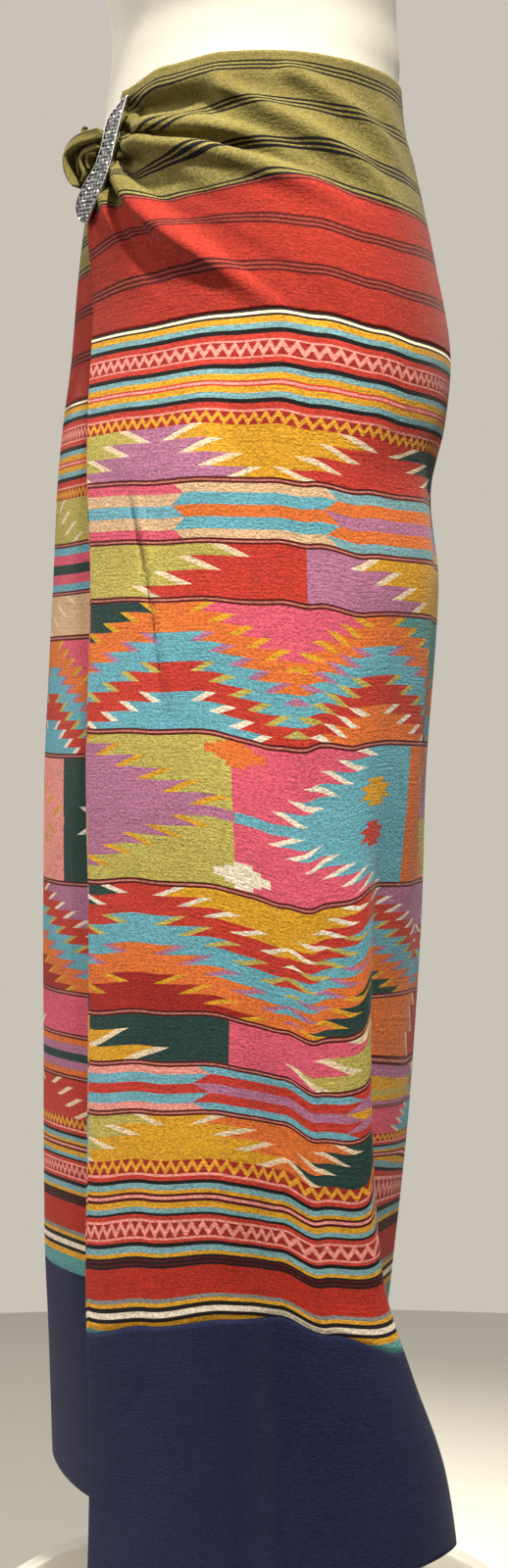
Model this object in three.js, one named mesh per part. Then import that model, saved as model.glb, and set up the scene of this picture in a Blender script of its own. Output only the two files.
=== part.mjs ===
// A long tube sarong, folded at the front and held by a clasp, standing on a limbless dress form.
// Millimetres, +Z up.  The origin is on the floor under the middle of the stand.
// The form faces -Y, and a bearing is the angle round from its front towards its left side (+X).

import * as THREE from 'three';

// ---------- driving dimensions ----------

const CLOTH = 1.4;             // wall of the handwoven cloth
const SEAM = 0.3;              // gap left at a sewn seam
const SEAT = 0.85;             // cloth to the form it hangs on, between facets

const ROWS = { waist: 13, body: 11, foot: 4 };   // facets down each cloth piece
const TURN_FACETS = 3;         // facets round each edge of the front fold
const TUCKED_FACETS = 5;       // facets across the layer folded in at the front

const FORM_BOTTOM = 812;       // lower end of the dress form
const FORM_FACETS = 48;
const FORM_RINGS = { top: 1090, bottom: 880, step: 15 };   // where it follows the sarong's own ring
const POLE = { radius: 14, collarRadius: 42, collarHeight: 12 };
const HUB = { radius: 24, bottom: 56, top: 118 };
const LEG = { count: 4, turn: -15, inner: 30, reach: 200, rise: 92, thick: 17, width: 27, rootHeight: 30 };

const CLASP = { top: 1059, bottom: 972, width: 20, tip: 5, thick: 2.4, facing: 35, clear: 0.6 };
const CLASP_RIM = { width: 2, proud: 1 };
const LOOPS = { middle: 1018, depth: 17, behind: 0.5, root: 4 };   // cloth pulled through the clasp
const OUTER_LOOP = { height: 46, reach: 24, thick: 6 };
const INNER_LOOP = { height: 27, reach: 12, thick: 4.5 };

// The tube round the body where one layer lies: half its width, and its reach to the front and back.
const RINGS = [
  { z: 1090, side: 125, front: 99, back: 99 },
  { z: 1073, side: 127, front: 101, back: 98 },
  { z: 1039, side: 134, front: 106, back: 101 },
  { z: 995, side: 148, front: 113, back: 111 },
  { z: 950, side: 162, front: 118, back: 119 },
  { z: 891, side: 171, front: 123, back: 129 },
  { z: 843, side: 173, front: 129, back: 125 },
  { z: 799, side: 172, front: 133, back: 115 },
  { z: 735, side: 171, front: 136, back: 121 },
  { z: 614, side: 170, front: 142, back: 113 },
  { z: 492, side: 168, front: 143, back: 109 },
  { z: 384, side: 166, front: 143, back: 102 },
  { z: 276, side: 165, front: 142, back: 92 },
  { z: 174, side: 166, front: 137, back: 91 },
  { z: 70, side: 168, front: 134, back: 92 },
];

// Bearings of the fold lines down the cloth, with how far its layers stand apart at the front fold,
// how far the flute at the left back stands out, and how far the dip behind it sinks in.
const FOLD_LINES = [
  { z: 1090, edge: 31, inner: 64, flute: 106, dip: 122, apart: 3.2, proud: 0, sunk: 0 },
  { z: 1055, edge: 28, inner: 63, flute: 106, dip: 122, apart: 3.2, proud: 0, sunk: 0 },
  { z: 1015, edge: 21, inner: 62, flute: 106, dip: 122, apart: 3.2, proud: 0, sunk: 0 },
  { z: 975, edge: 16, inner: 60, flute: 106, dip: 122, apart: 3.3, proud: 0, sunk: 0 },
  { z: 940, edge: 16.5, inner: 60, flute: 106, dip: 122, apart: 3.6, proud: 0, sunk: 0 },
  { z: 880, edge: 19, inner: 62, flute: 106, dip: 122, apart: 4.4, proud: 0, sunk: 0 },
  { z: 740, edge: 27.5, inner: 66, flute: 107, dip: 122, apart: 5.5, proud: 0, sunk: 0 },
  { z: 600, edge: 31, inner: 70, flute: 108, dip: 122, apart: 6.5, proud: 2, sunk: 2 },
  { z: 500, edge: 33, inner: 72, flute: 110, dip: 122, apart: 7, proud: 6, sunk: 9 },
  { z: 370, edge: 34, inner: 73, flute: 114, dip: 125, apart: 8, proud: 10, sunk: 14 },
  { z: 276, edge: 34, inner: 74, flute: 122, dip: 134, apart: 8.5, proud: 13, sunk: 16 },
  { z: 215, edge: 34, inner: 74, flute: 130, dip: 146, apart: 9, proud: 23, sunk: 14 },
  { z: 150, edge: 33, inner: 73, flute: 138, dip: 158, apart: 9.2, proud: 37, sunk: 9 },
  { z: 70, edge: 31, inner: 72, flute: 143, dip: 168, apart: 9.5, proud: 44, sunk: 4 },
];

// The way round the tube from the outer edge of the front fold: how many layers lie under the cloth,
// the facets to the next place, and the heights of the top edge, the two seams and the hem there.
const PLACES = [
  { at: 'edge', layers: 2, facets: 3, top: 1056, waistSeam: 894, footSeam: 247, hem: 78 },
  { at: 'lap', layers: 2, facets: 3, top: 1066, waistSeam: 894, footSeam: 257, hem: 82 },
  { at: 'inner', layers: 2, facets: 4, top: 1071, waistSeam: 898, footSeam: 265, hem: 88 },
  { at: 'settled', layers: 0, facets: 3, top: 1073, waistSeam: 901, footSeam: 264, hem: 90 },
  { at: 'flank', layers: 0, facets: 5, top: 1073, waistSeam: 898, footSeam: 251, hem: 91 },
  { at: 'flute', layers: 0, facets: 4, top: 1072, waistSeam: 891, footSeam: 232, hem: 100 },
  { at: 'dip', layers: 0, facets: 8, top: 1071, waistSeam: 887, footSeam: 244, hem: 116 },
  { at: 'back', layers: 0, facets: 8, top: 1070, waistSeam: 886, footSeam: 252, hem: 108 },
  { at: 'right', layers: 0, facets: 8, top: 1068, waistSeam: 884, footSeam: 258, hem: 106 },
  { at: 'front', layers: 0, facets: 4, top: 1036, waistSeam: 860, footSeam: 277, hem: 140 },
  { at: 'under', layers: 0, facets: 5, top: 1036, waistSeam: 857, footSeam: 277, hem: 130 },
  { at: 'tuck', layers: 0, facets: 0, top: 1050, waistSeam: 872, footSeam: 268, hem: 110 },
];

// Folds that run from the clasp over the hip: heights at the clasp, half way and at their far end,
// their reach round the body in degrees, and their half width at both ends.
const GATHERS = [
  { start: 1043, middle: 1042, end: 1034, reach: 62, narrow: 4, wide: 11, deep: 0.8 },
  { start: 1030, middle: 1019, end: 985, reach: 85, narrow: 3, wide: 10, deep: 0.75 },
  { start: 1019, middle: 985, end: 930, reach: 72, narrow: 4, wide: 15, deep: 0.95 },
  { start: 1006, middle: 972, end: 930, reach: 34, narrow: 4, wide: 9, deep: 0.7 },
];
const GATHER_RISE = 9;         // how far the gathered cloth stands off the hip at the clasp
const GATHER_REACH = 95;       // degrees from the clasp to where it lies flat
const GATHER_LOW = 905;        // height where the gathers have run out
const GATHER_FADE = 90;        // and how far above it they are full

const FLUTE_SPREAD = 48;       // degrees over which the flute swells on its near side
const DIP_SPREAD = 40;         // degrees over which the dip behind it runs out

// The dress form above and below the sarong; between, it is the sarong's own ring, set in.
const FORM_BELOW = [
  { z: 850, side: 168, front: 119, back: 121 },
  { z: 824, side: 160, front: 112, back: 114 },
  { z: FORM_BOTTOM, side: 148, front: 102, back: 104 },
];
const FORM_ABOVE = [
  { z: 1540, side: 52, front: 46, back: 58 },
  { z: 1500, side: 56, front: 50, back: 62 },
  { z: 1478, side: 68, front: 56, back: 70 },
  { z: 1460, side: 104, front: 68, back: 82 },
  { z: 1438, side: 146, front: 82, back: 94 },
  { z: 1410, side: 168, front: 94, back: 102 },
  { z: 1370, side: 172, front: 108, back: 106 },
  { z: 1320, side: 160, front: 126, back: 106 },
  { z: 1270, side: 154, front: 133, back: 103 },
  { z: 1220, side: 146, front: 120, back: 99 },
  { z: 1160, side: 131, front: 104, back: 95 },
  { z: 1115, side: 123, front: 96, back: 95 },
];

const COLOURS = {
  waist: 0xa8a050, body: 0xc8503c, foot: 0x242a58, silver: 0xb9bcc4, form: 0xece8e0, stand: 0xe9e9e6,
};

// ---------- small helpers ----------

const radians = (degrees) => degrees * Math.PI / 180;
const mix = (a, b, t) => a + (b - a) * t;
const ease = (t) => {
  const s = Math.min(1, Math.max(0, t));
  return s * s * (3 - 2 * s);
};

// A smooth value of one column of a table at height z, its rows running down.
function valueAt(table, column, z) {
  let i = 0;
  while (i < table.length - 2 && z < table[i + 1].z) {
    i += 1;
  }
  const slope = (k) => {
    const a = table[Math.max(0, k - 1)];
    const b = table[Math.min(table.length - 1, k + 1)];
    return (b[column] - a[column]) / (b.z - a.z);
  };
  const upper = table[i];
  const lower = table[i + 1];
  const span = lower.z - upper.z;
  const t = Math.min(1, Math.max(0, (z - upper.z) / span));
  const t2 = t * t;
  const t3 = t2 * t;
  return (2 * t3 - 3 * t2 + 1) * upper[column] + (t3 - 2 * t2 + t) * span * slope(i)
    + (3 * t2 - 2 * t3) * lower[column] + (t3 - t2) * span * slope(i + 1);
}

const foldLine = (column, z) => valueAt(FOLD_LINES, column, z);

// A point of the ring at a bearing and height, moved out by `out` and round by `along`.
function ringPoint(bearing, z, out = 0, along = 0) {
  const side = valueAt(RINGS, 'side', z);
  const front = valueAt(RINGS, 'front', z);
  const back = valueAt(RINGS, 'back', z);
  const depth = (front + back) / 2;
  const angle = radians(bearing);
  const normal = new THREE.Vector2(Math.sin(angle) / side, -Math.cos(angle) / depth).normalize();
  return new THREE.Vector3(
    side * Math.sin(angle) + normal.x * out - normal.y * along,
    (back - front) / 2 - depth * Math.cos(angle) + normal.y * out + normal.x * along,
    z,
  );
}

// ---------- the cloth ----------

const BEARINGS = {
  edge: (z) => foldLine('edge', z),
  lap: (z) => mix(foldLine('edge', z), foldLine('inner', z), 0.45),
  inner: (z) => foldLine('inner', z),
  settled: (z) => foldLine('inner', z) + 14,
  flank: (z) => mix(foldLine('inner', z) + 14, foldLine('flute', z), 0.4),
  flute: (z) => foldLine('flute', z),
  dip: (z) => foldLine('dip', z),
  back: () => 195,
  right: () => 270,
  front: () => 340,
  under: (z) => 360 + foldLine('edge', z),
  tuck: (z) => 360 + foldLine('inner', z),
};

const gatherHeight = (z) => ease((z - GATHER_LOW) / GATHER_FADE);

// How far the gathered cloth stands off the hip: a swelling from the clasp, cut by its folds.
function gatherRise(bearing, z) {
  const away = bearing - foldLine('edge', z);
  if (away > GATHER_REACH) {
    return 0;
  }
  const swell = GATHER_RISE * (1 - ease(away / GATHER_REACH)) * gatherHeight(z);
  let left = 1;
  for (const fold of GATHERS) {
    const t = Math.max(0, away) / fold.reach;
    if (t < 1) {
      const centre = (1 - t) ** 2 * fold.start + 2 * t * (1 - t) * fold.middle + t * t * fold.end;
      const width = mix(fold.narrow, fold.wide, t);
      left *= 1 - fold.deep * (1 - ease(t * t)) * Math.exp(-(((z - centre) / width) ** 2));
    }
  }
  return swell * left;
}

// The flute that hangs at the left back stands out, and the cloth behind it sinks in.
function fluteRise(bearing, z) {
  const flute = foldLine('flute', z);
  const dip = foldLine('dip', z);
  const proud = foldLine('proud', z);
  const sunk = foldLine('sunk', z);
  if (bearing <= flute) {
    return proud * ease(1 - (flute - bearing) / FLUTE_SPREAD);
  }
  if (bearing <= dip) {
    return mix(proud, -sunk, ease((bearing - flute) / (dip - flute)));
  }
  return -sunk * (1 - ease((bearing - dip) / DIP_SPREAD));
}

const TUCKED_LAYER = -1;       // marks a column of the layer folded in, from its inner edge to the outer

// Columns of facets round the tube.  A turn column lies on the round edge of the front fold.
function clothColumns() {
  const columns = [];
  PLACES.forEach((place, i) => {
    for (let k = 0; k < Math.max(1, place.facets); k += 1) {
      columns.push({ from: i, t: place.facets ? k / place.facets : 0, turn: null });
    }
  });
  const last = PLACES.length - 1;
  for (let k = 1; k < TURN_FACETS; k += 1) {
    columns.push({ from: last, t: 0, turn: { edge: 'tuck', angle: Math.PI * k / TURN_FACETS } });
  }
  for (let k = 0; k <= TUCKED_FACETS; k += 1) {
    columns.push({ from: TUCKED_LAYER, t: k / TUCKED_FACETS, turn: null });
  }
  for (let k = 1; k < TURN_FACETS; k += 1) {
    columns.push({ from: 0, t: 0, turn: { edge: 'edge', angle: Math.PI * (1 - k / TURN_FACETS) } });
  }
  return columns;
}

// Height, at one column, of a named level: top, waistSeam, footSeam or hem.
function levelAt(column, level) {
  if (column.from === TUCKED_LAYER) {
    return mix(PLACES[PLACES.length - 1][level], PLACES[0][level], column.t);
  }
  const here = PLACES[column.from];
  const next = PLACES[Math.min(column.from + 1, PLACES.length - 1)];
  if (column.turn) {
    const other = column.turn.edge === 'edge' ? PLACES[0] : PLACES[PLACES.length - 1];
    return other[level];
  }
  return mix(here[level], next[level], ease(column.t));
}

// Middle of the cloth wall at one column and height.
function clothMiddle(column, z) {
  const apart = foldLine('apart', z);
  if (column.from === TUCKED_LAYER) {
    const bearing = mix(foldLine('inner', z), foldLine('edge', z), column.t);
    return ringPoint(bearing, z, apart);
  }
  if (column.turn) {
    const outerEdge = column.turn.edge === 'edge';
    const bearing = foldLine(outerEdge ? 'edge' : 'inner', z);
    const low = outerEdge ? apart : 0;
    const high = outerEdge ? 2 * apart + gatherRise(bearing, z) : apart;
    const radius = (high - low) / 2;
    const round = radius * Math.cos(column.turn.angle);
    const along = radius * Math.sin(column.turn.angle);
    return outerEdge
      ? ringPoint(bearing, z, low + radius + round, -along)
      : ringPoint(bearing, z, low + radius - round, along);
  }
  const here = PLACES[column.from];
  const next = PLACES[Math.min(column.from + 1, PLACES.length - 1)];
  const bearing = mix(BEARINGS[here.at](z), BEARINGS[next.at](z), column.t);
  const layers = mix(here.layers, next.layers, ease(column.t));
  const isOuter = bearing < 330;
  const rise = isOuter ? gatherRise(bearing, z) + fluteRise(bearing, z) : 0;
  return ringPoint(bearing, z, layers * apart + rise);
}

// A closed tube wall between two levels, from the middle of the cloth moved out and in.
function clothWall(upper, lower, rows, upperGap, lowerGap) {
  const columns = clothColumns();
  const count = columns.length;
  const positions = [];
  for (let r = 0; r <= rows; r += 1) {
    const middles = columns.map((column) => {
      const high = levelAt(column, upper) - upperGap;
      const low = levelAt(column, lower) + lowerGap;
      return clothMiddle(column, mix(high, low, r / rows));
    });
    middles.forEach((point, c) => {
      const before = middles[(c + count - 1) % count];
      const after = middles[(c + 1) % count];
      const normal = new THREE.Vector2(after.y - before.y, before.x - after.x).normalize();
      for (const side of [0.5, -0.5]) {
        positions.push(point.x + normal.x * CLOTH * side, point.y + normal.y * CLOTH * side, point.z);
      }
    });
  }
  const vertex = (r, c, side) => (r * count + (c % count)) * 2 + side;
  const faces = [];
  const quad = (a, b, c, d) => faces.push(a, b, c, a, c, d);
  for (let c = 0; c < count; c += 1) {
    for (let r = 0; r < rows; r += 1) {
      quad(vertex(r, c, 0), vertex(r + 1, c, 0), vertex(r + 1, c + 1, 0), vertex(r, c + 1, 0));
      quad(vertex(r, c, 1), vertex(r, c + 1, 1), vertex(r + 1, c + 1, 1), vertex(r + 1, c, 1));
    }
    quad(vertex(0, c, 0), vertex(0, c + 1, 0), vertex(0, c + 1, 1), vertex(0, c, 1));
    quad(vertex(rows, c, 0), vertex(rows, c, 1), vertex(rows, c + 1, 1), vertex(rows, c + 1, 0));
  }
  return indexed(positions, faces);
}

function indexed(positions, faces) {
  const geometry = new THREE.BufferGeometry();
  geometry.setAttribute('position', new THREE.Float32BufferAttribute(positions, 3));
  geometry.setIndex(faces);
  geometry.computeVertexNormals();
  return geometry;
}

// ---------- the clasp and the loops of cloth pulled through it ----------

const claspFacing = new THREE.Vector3(Math.sin(radians(CLASP.facing)), -Math.cos(radians(CLASP.facing)), 0);
const claspLeft = new THREE.Vector3(-Math.cos(radians(CLASP.facing)), -Math.sin(radians(CLASP.facing)), 0);

const CLASP_EDGE = 1.5;        // degrees from the edge of the fold to the clasp's right-hand edge

// The right-hand edge of the clasp's back, just off the gathered cloth.
function claspSeat(z) {
  const rise = 2 * foldLine('apart', z) + GATHER_RISE * gatherHeight(z);
  return ringPoint(foldLine('edge', z) + CLASP_EDGE, z, rise + CLOTH / 2 + CLASP.clear);
}

// A leaf, narrow at its top tip and widest two thirds of the way down.
function claspWidth(t) {
  const leaf = Math.sin(Math.PI * t ** 1.5) ** 0.7;
  return CLASP.tip + (CLASP.width - CLASP.tip) * leaf;
}

// A bar along the clasp from one distance across it to another, standing `proud` of its back.
function claspBar(across0, across1, proud) {
  const rows = 12;
  const positions = [];
  for (let r = 0; r <= rows; r += 1) {
    const t = r / rows;
    const z = mix(CLASP.top, CLASP.bottom, t);
    const seat = claspSeat(z);
    const inner = seat.clone().addScaledVector(claspLeft, across0(t));
    const outer = seat.clone().addScaledVector(claspLeft, across1(t));
    for (const corner of [inner, outer]) {
      positions.push(...corner.toArray());
    }
    for (const corner of [outer, inner]) {
      positions.push(...corner.clone().addScaledVector(claspFacing, proud).toArray());
    }
  }
  const faces = [];
  const quad = (a, b, c, d) => faces.push(a, b, c, a, c, d);
  for (let r = 0; r < rows; r += 1) {
    for (let k = 0; k < 4; k += 1) {
      const a = r * 4 + k;
      const b = r * 4 + (k + 1) % 4;
      quad(a, a + 4, b + 4, b);
    }
  }
  const end = rows * 4;
  quad(0, 1, 2, 3);
  quad(end + 3, end + 2, end + 1, end);
  return indexed(positions, faces);
}

// A loop of cloth in the clasp's own plane, from under its front edge out and back.
function clothLoop(loop) {
  const shape = new THREE.Shape();
  const half = loop.height / 2;
  const hole = half - loop.thick;
  shape.moveTo(-LOOPS.root, half);
  shape.lineTo(0, half);
  shape.absellipse(0, 0, loop.reach, half, Math.PI / 2, -Math.PI / 2, true, 0);
  shape.lineTo(-LOOPS.root, -half);
  shape.lineTo(-LOOPS.root, -hole);
  shape.lineTo(0, -hole);
  shape.absellipse(0, 0, loop.reach - loop.thick, hole, -Math.PI / 2, Math.PI / 2, false, 0);
  shape.lineTo(-LOOPS.root, hole);
  shape.closePath();
  const geometry = new THREE.ExtrudeGeometry(shape, {
    depth: LOOPS.depth, bevelEnabled: false, curveSegments: 8, steps: 1,
  });
  const along = claspSeat(LOOPS.middle + half).sub(claspSeat(LOOPS.middle - half)).normalize();
  const left = claspLeft.clone().addScaledVector(along, -claspLeft.dot(along)).normalize();
  const back = new THREE.Vector3().crossVectors(left, along);
  const down = (CLASP.top - LOOPS.middle) / (CLASP.top - CLASP.bottom);
  const seat = claspSeat(LOOPS.middle).addScaledVector(claspLeft, claspWidth(down));
  const place = new THREE.Matrix4().makeBasis(left, along, back);
  place.setPosition(seat.addScaledVector(back, LOOPS.behind));
  geometry.applyMatrix4(place);
  return geometry;
}

// ---------- the dress form and its stand ----------

function formRow(z, ring) {
  const depth = (ring.front + ring.back) / 2;
  const row = [];
  for (let c = 0; c < FORM_FACETS; c += 1) {
    const angle = 2 * Math.PI * c / FORM_FACETS;
    row.push([ring.side * Math.sin(angle), (ring.back - ring.front) / 2 - depth * Math.cos(angle), z]);
  }
  return row;
}

function formGeometry() {
  const inset = CLOTH / 2 + SEAT;
  const rows = FORM_ABOVE.map((ring) => formRow(ring.z, ring));
  for (let z = FORM_RINGS.top; z > FORM_RINGS.bottom; z -= FORM_RINGS.step) {
    rows.push(formRow(z, {
      side: valueAt(RINGS, 'side', z) - inset,
      front: valueAt(RINGS, 'front', z) - inset,
      back: valueAt(RINGS, 'back', z) - inset,
    }));
  }
  rows.push(...FORM_BELOW.map((ring) => formRow(ring.z, ring)));
  const positions = rows.flat(2);
  const faces = [];
  const count = FORM_FACETS;
  for (let r = 0; r < rows.length - 1; r += 1) {
    for (let c = 0; c < count; c += 1) {
      const a = r * count + c;
      const b = r * count + (c + 1) % count;
      faces.push(a, a + count, b + count, a, b + count, b);
    }
  }
  const last = (rows.length - 1) * count;
  for (let c = 1; c < count - 1; c += 1) {
    faces.push(0, c, c + 1, last, last + c + 1, last + c);
  }
  return indexed(positions, faces);
}

function drum(radius, bottom, top, sides = 32) {
  const geometry = new THREE.CylinderGeometry(radius, radius, top - bottom, sides);
  geometry.rotateX(Math.PI / 2);
  geometry.translate(0, 0, (top + bottom) / 2);
  return geometry;
}

// One arched leg, drawn pointing along +X and turned to its bearing.
function legGeometry(bearing) {
  const shape = new THREE.Shape();
  const root = HUB.radius + SEAM;
  const span = LEG.reach - LEG.inner;
  shape.moveTo(root, LEG.rise);
  shape.lineTo(LEG.inner, LEG.rise);
  shape.absellipse(LEG.inner, 0, span, LEG.rise, Math.PI / 2, 0, true, 0);
  shape.lineTo(LEG.reach - LEG.thick, 0);
  shape.absellipse(LEG.inner, 0, span - LEG.thick, LEG.rise - LEG.thick, 0, Math.PI / 2, false, 0);
  shape.lineTo(root, LEG.rise - LEG.rootHeight);
  shape.closePath();
  const geometry = new THREE.ExtrudeGeometry(shape, {
    depth: LEG.width, bevelEnabled: false, curveSegments: 10, steps: 1,
  });
  geometry.rotateX(Math.PI / 2);
  geometry.translate(0, LEG.width / 2, 0);
  geometry.rotateZ(radians(bearing - 90));
  return geometry;
}

// ---------- the object ----------

const sarong = new THREE.Group();

function add(name, geometry, colour, roughness = 0.85, metalness = 0) {
  const material = new THREE.MeshStandardMaterial({ color: colour, roughness, metalness });
  const mesh = new THREE.Mesh(geometry, material);
  mesh.name = name;
  sarong.add(mesh);
}

add('waist_cloth', clothWall('top', 'waistSeam', ROWS.waist, 0, SEAM / 2), COLOURS.waist);
add('body_cloth', clothWall('waistSeam', 'footSeam', ROWS.body, SEAM / 2, SEAM / 2), COLOURS.body);
add('foot_cloth', clothWall('footSeam', 'hem', ROWS.foot, SEAM / 2, 0), COLOURS.foot);

const plateEdge = () => CLASP_RIM.width + SEAM;
const rimTop = CLASP.thick + CLASP_RIM.proud;
add('clasp_plate', claspBar(plateEdge, claspWidth, CLASP.thick), COLOURS.silver, 0.25, 0.9);
add('clasp_rim', claspBar(() => 0, () => CLASP_RIM.width, rimTop), COLOURS.silver, 0.2, 1);
add('knot_outer_loop', clothLoop(OUTER_LOOP), COLOURS.waist);
add('knot_inner_loop', clothLoop(INNER_LOOP), COLOURS.waist);

add('dress_form', formGeometry(), COLOURS.form, 0.9);
const collarBottom = FORM_BOTTOM - SEAM - POLE.collarHeight;
add('form_collar', drum(POLE.collarRadius, collarBottom, FORM_BOTTOM - SEAM), COLOURS.stand, 0.5);
add('pole', drum(POLE.radius, HUB.top + SEAM, collarBottom - SEAM), COLOURS.stand, 0.4);
add('stand_hub', drum(HUB.radius, HUB.bottom, HUB.top), COLOURS.stand, 0.5);
for (let k = 0; k < LEG.count; k += 1) {
  add(`stand_leg_${k + 1}`, legGeometry(LEG.turn + 360 * k / LEG.count), COLOURS.stand, 0.5);
}

export default sarong;
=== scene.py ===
"""A handwoven tube sarong, folded at the front and held by a clasp, on a limbless dress form.

The cloth's shape is worked out in millimetres from the same sizes as the part's own solids:
+Z up, the form faces -Y, and a bearing is the angle round from its front towards its left
side (+X).  mesh_piece() turns millimetres into metres.
"""

import math

import bpy
import numpy as np
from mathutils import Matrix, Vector


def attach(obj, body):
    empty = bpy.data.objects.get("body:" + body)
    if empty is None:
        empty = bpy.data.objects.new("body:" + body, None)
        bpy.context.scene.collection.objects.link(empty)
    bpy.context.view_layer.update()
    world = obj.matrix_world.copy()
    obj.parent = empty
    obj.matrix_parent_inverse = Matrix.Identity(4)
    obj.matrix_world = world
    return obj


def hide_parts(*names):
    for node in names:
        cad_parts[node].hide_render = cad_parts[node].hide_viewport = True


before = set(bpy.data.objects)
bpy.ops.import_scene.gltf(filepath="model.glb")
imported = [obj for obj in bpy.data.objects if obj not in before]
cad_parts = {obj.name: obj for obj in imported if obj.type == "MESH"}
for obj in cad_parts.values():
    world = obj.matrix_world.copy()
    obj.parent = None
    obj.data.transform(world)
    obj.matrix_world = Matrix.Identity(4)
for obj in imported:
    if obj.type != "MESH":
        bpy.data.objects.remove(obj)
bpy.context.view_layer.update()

MM = 0.001


def add_object(name, data):
    """A new object in the scene."""
    thing = bpy.data.objects.new(name, data)
    bpy.context.scene.collection.objects.link(thing)
    return thing


def outward(azimuth, elevation=0):
    """The direction out from the middle at a bearing and a height above level, in degrees."""
    bearing, rise = math.radians(azimuth), math.radians(elevation)
    level = math.cos(rise)
    return Vector((math.sin(bearing) * level, -math.cos(bearing) * level, math.sin(rise)))


# ---------- the camera ----------

CAMERA = {"azimuth": 75, "distance": 2.0, "height": 0.6, "lens": 66.6, "sensor": 36}


def add_camera():
    """Level, at mid height, looking at the sarong from its left and a little in front."""
    data = bpy.data.cameras.new("view_camera")
    data.lens = CAMERA["lens"]
    data.sensor_width = CAMERA["sensor"]
    camera = add_object("view_camera", data)
    out = outward(CAMERA["azimuth"])
    camera.location = out * CAMERA["distance"] + Vector((0, 0, CAMERA["height"]))
    camera.rotation_euler = (-out).to_track_quat("-Z", "Y").to_euler()
    bpy.context.scene.camera = camera


add_camera()


# ---------- the sizes of the cloth ----------

def table(columns, *rows):
    """A short table, kept as one array for each named column."""
    return {name: np.array(values) for name, values in zip(columns.split(), zip(*rows))}


CLOTH = 1.4                 # wall of the handwoven cloth
SEAM = 0.3                  # gap at a sewn seam

# The tube where one layer lies: half its width, and its reach to the front and back.
RINGS = table(
    "z side front back",
    (1090, 125, 99, 99),
    (1073, 127, 101, 98),
    (1039, 134, 106, 101),
    (995, 148, 113, 111),
    (950, 162, 118, 119),
    (891, 171, 123, 129),
    (843, 173, 129, 125),
    (799, 172, 133, 115),
    (735, 171, 136, 121),
    (614, 170, 142, 113),
    (492, 168, 143, 109),
    (384, 166, 143, 102),
    (276, 165, 142, 92),
    (174, 166, 137, 91),
    (70, 168, 134, 92),
)

# Bearings of the fold lines, how far the layers stand apart at the front fold, how far the
# flute at the left back stands out, and how far the dip behind it sinks in.
FOLD_LINES = table(
    "z edge inner flute dip apart proud sunk",
    (1090, 31, 64, 106, 122, 3.2, 0, 0),
    (1055, 28, 63, 106, 122, 3.2, 0, 0),
    (1015, 21, 62, 106, 122, 3.2, 0, 0),
    (975, 16, 60, 106, 122, 3.3, 0, 0),
    (940, 16.5, 60, 106, 122, 3.6, 0, 0),
    (880, 19, 62, 106, 122, 4.4, 0, 0),
    (740, 27.5, 66, 107, 122, 5.5, 0, 0),
    (600, 31, 70, 108, 122, 6.5, 2, 2),
    (500, 33, 72, 110, 122, 7, 6, 9),
    (370, 34, 73, 114, 125, 8, 10, 14),
    (276, 34, 74, 122, 134, 8.5, 13, 16),
    (215, 34, 74, 130, 146, 9, 23, 14),
    (150, 33, 73, 138, 158, 9.2, 37, 9),
    (70, 31, 72, 143, 168, 9.5, 44, 4),
)

# The way round the tube from the outer edge of the front fold: how many layers lie under the
# cloth, the facets to the next place, and the heights of the top edge, the seams and the hem.
PLACES = table(
    "at layers facets top waist_seam foot_seam hem",
    ("edge", 2, 3, 1056, 894, 247, 78),
    ("lap", 2, 3, 1066, 894, 257, 82),
    ("inner", 2, 4, 1071, 898, 265, 88),
    ("settled", 0, 3, 1073, 901, 264, 90),
    ("flank", 0, 5, 1073, 898, 251, 91),
    ("flute", 0, 4, 1072, 891, 232, 100),
    ("dip", 0, 8, 1071, 887, 244, 116),
    ("back", 0, 8, 1070, 886, 252, 108),
    ("right", 0, 8, 1068, 884, 258, 106),
    ("front", 0, 4, 1036, 860, 277, 140),
    ("under", 0, 5, 1036, 857, 277, 130),
    ("tuck", 0, 0, 1050, 872, 268, 110),
)
LAST = len(PLACES["at"]) - 1
LAP_SHARE = 0.45            # of the way across the front fold to the lap
SETTLING = 14               # degrees past the fold in which its layers settle to one
FLANK_SHARE = 0.4           # of the way from there to the flute
FIXED_BEARINGS = {"back": 195, "right": 270, "front": 340}
UNDER_LAYER = 330           # bearing past which the tube runs under its own front fold
FOLDED_IN = 720             # added to the bearing of cloth folded in, where no gathers rise
MEASURED_AT = 560           # height where the way round the cloth is measured
TURN_FACETS = 12            # round each edge of the front fold
TUCKED_FACETS = 26          # across the layer folded in at the front

# Folds that run from the clasp over the hip: heights at the clasp, half way and at their far
# end, their reach round the body in degrees, their half width at both ends, and the share of
# the swelling that they cut away.
GATHERS = table(
    "start middle end reach narrow wide deep",
    (1043, 1042, 1034, 62, 4, 11, 0.8),
    (1030, 1019, 985, 85, 3, 10, 0.75),
    (1019, 985, 930, 72, 4, 15, 0.95),
    (1006, 972, 930, 34, 4, 9, 0.7),
)
GATHER_RISE = 9             # how far the gathered cloth stands off the hip at the clasp
GATHER_REACH = 95           # degrees from the clasp to where it lies flat
GATHER_LOW = 905            # height where the gathers have run out
GATHER_FADE = 90            # and how far above it they are full
FLUTE_SPREAD = 48           # degrees over which the flute swells on its near side
DIP_SPREAD = 40             # degrees over which the dip behind it runs out

# How far down the cloth each seam is, from the top edge.
LENGTHS = {"top": 0, "waist_seam": 172, "foot_seam": 810, "hem": 985}


# ---------- the cloth's form ----------

def mix(a, b, t):
    return a + (b - a) * t


def ease(t):
    s = np.clip(t, 0, 1)
    return s * s * (3 - 2 * s)


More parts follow.
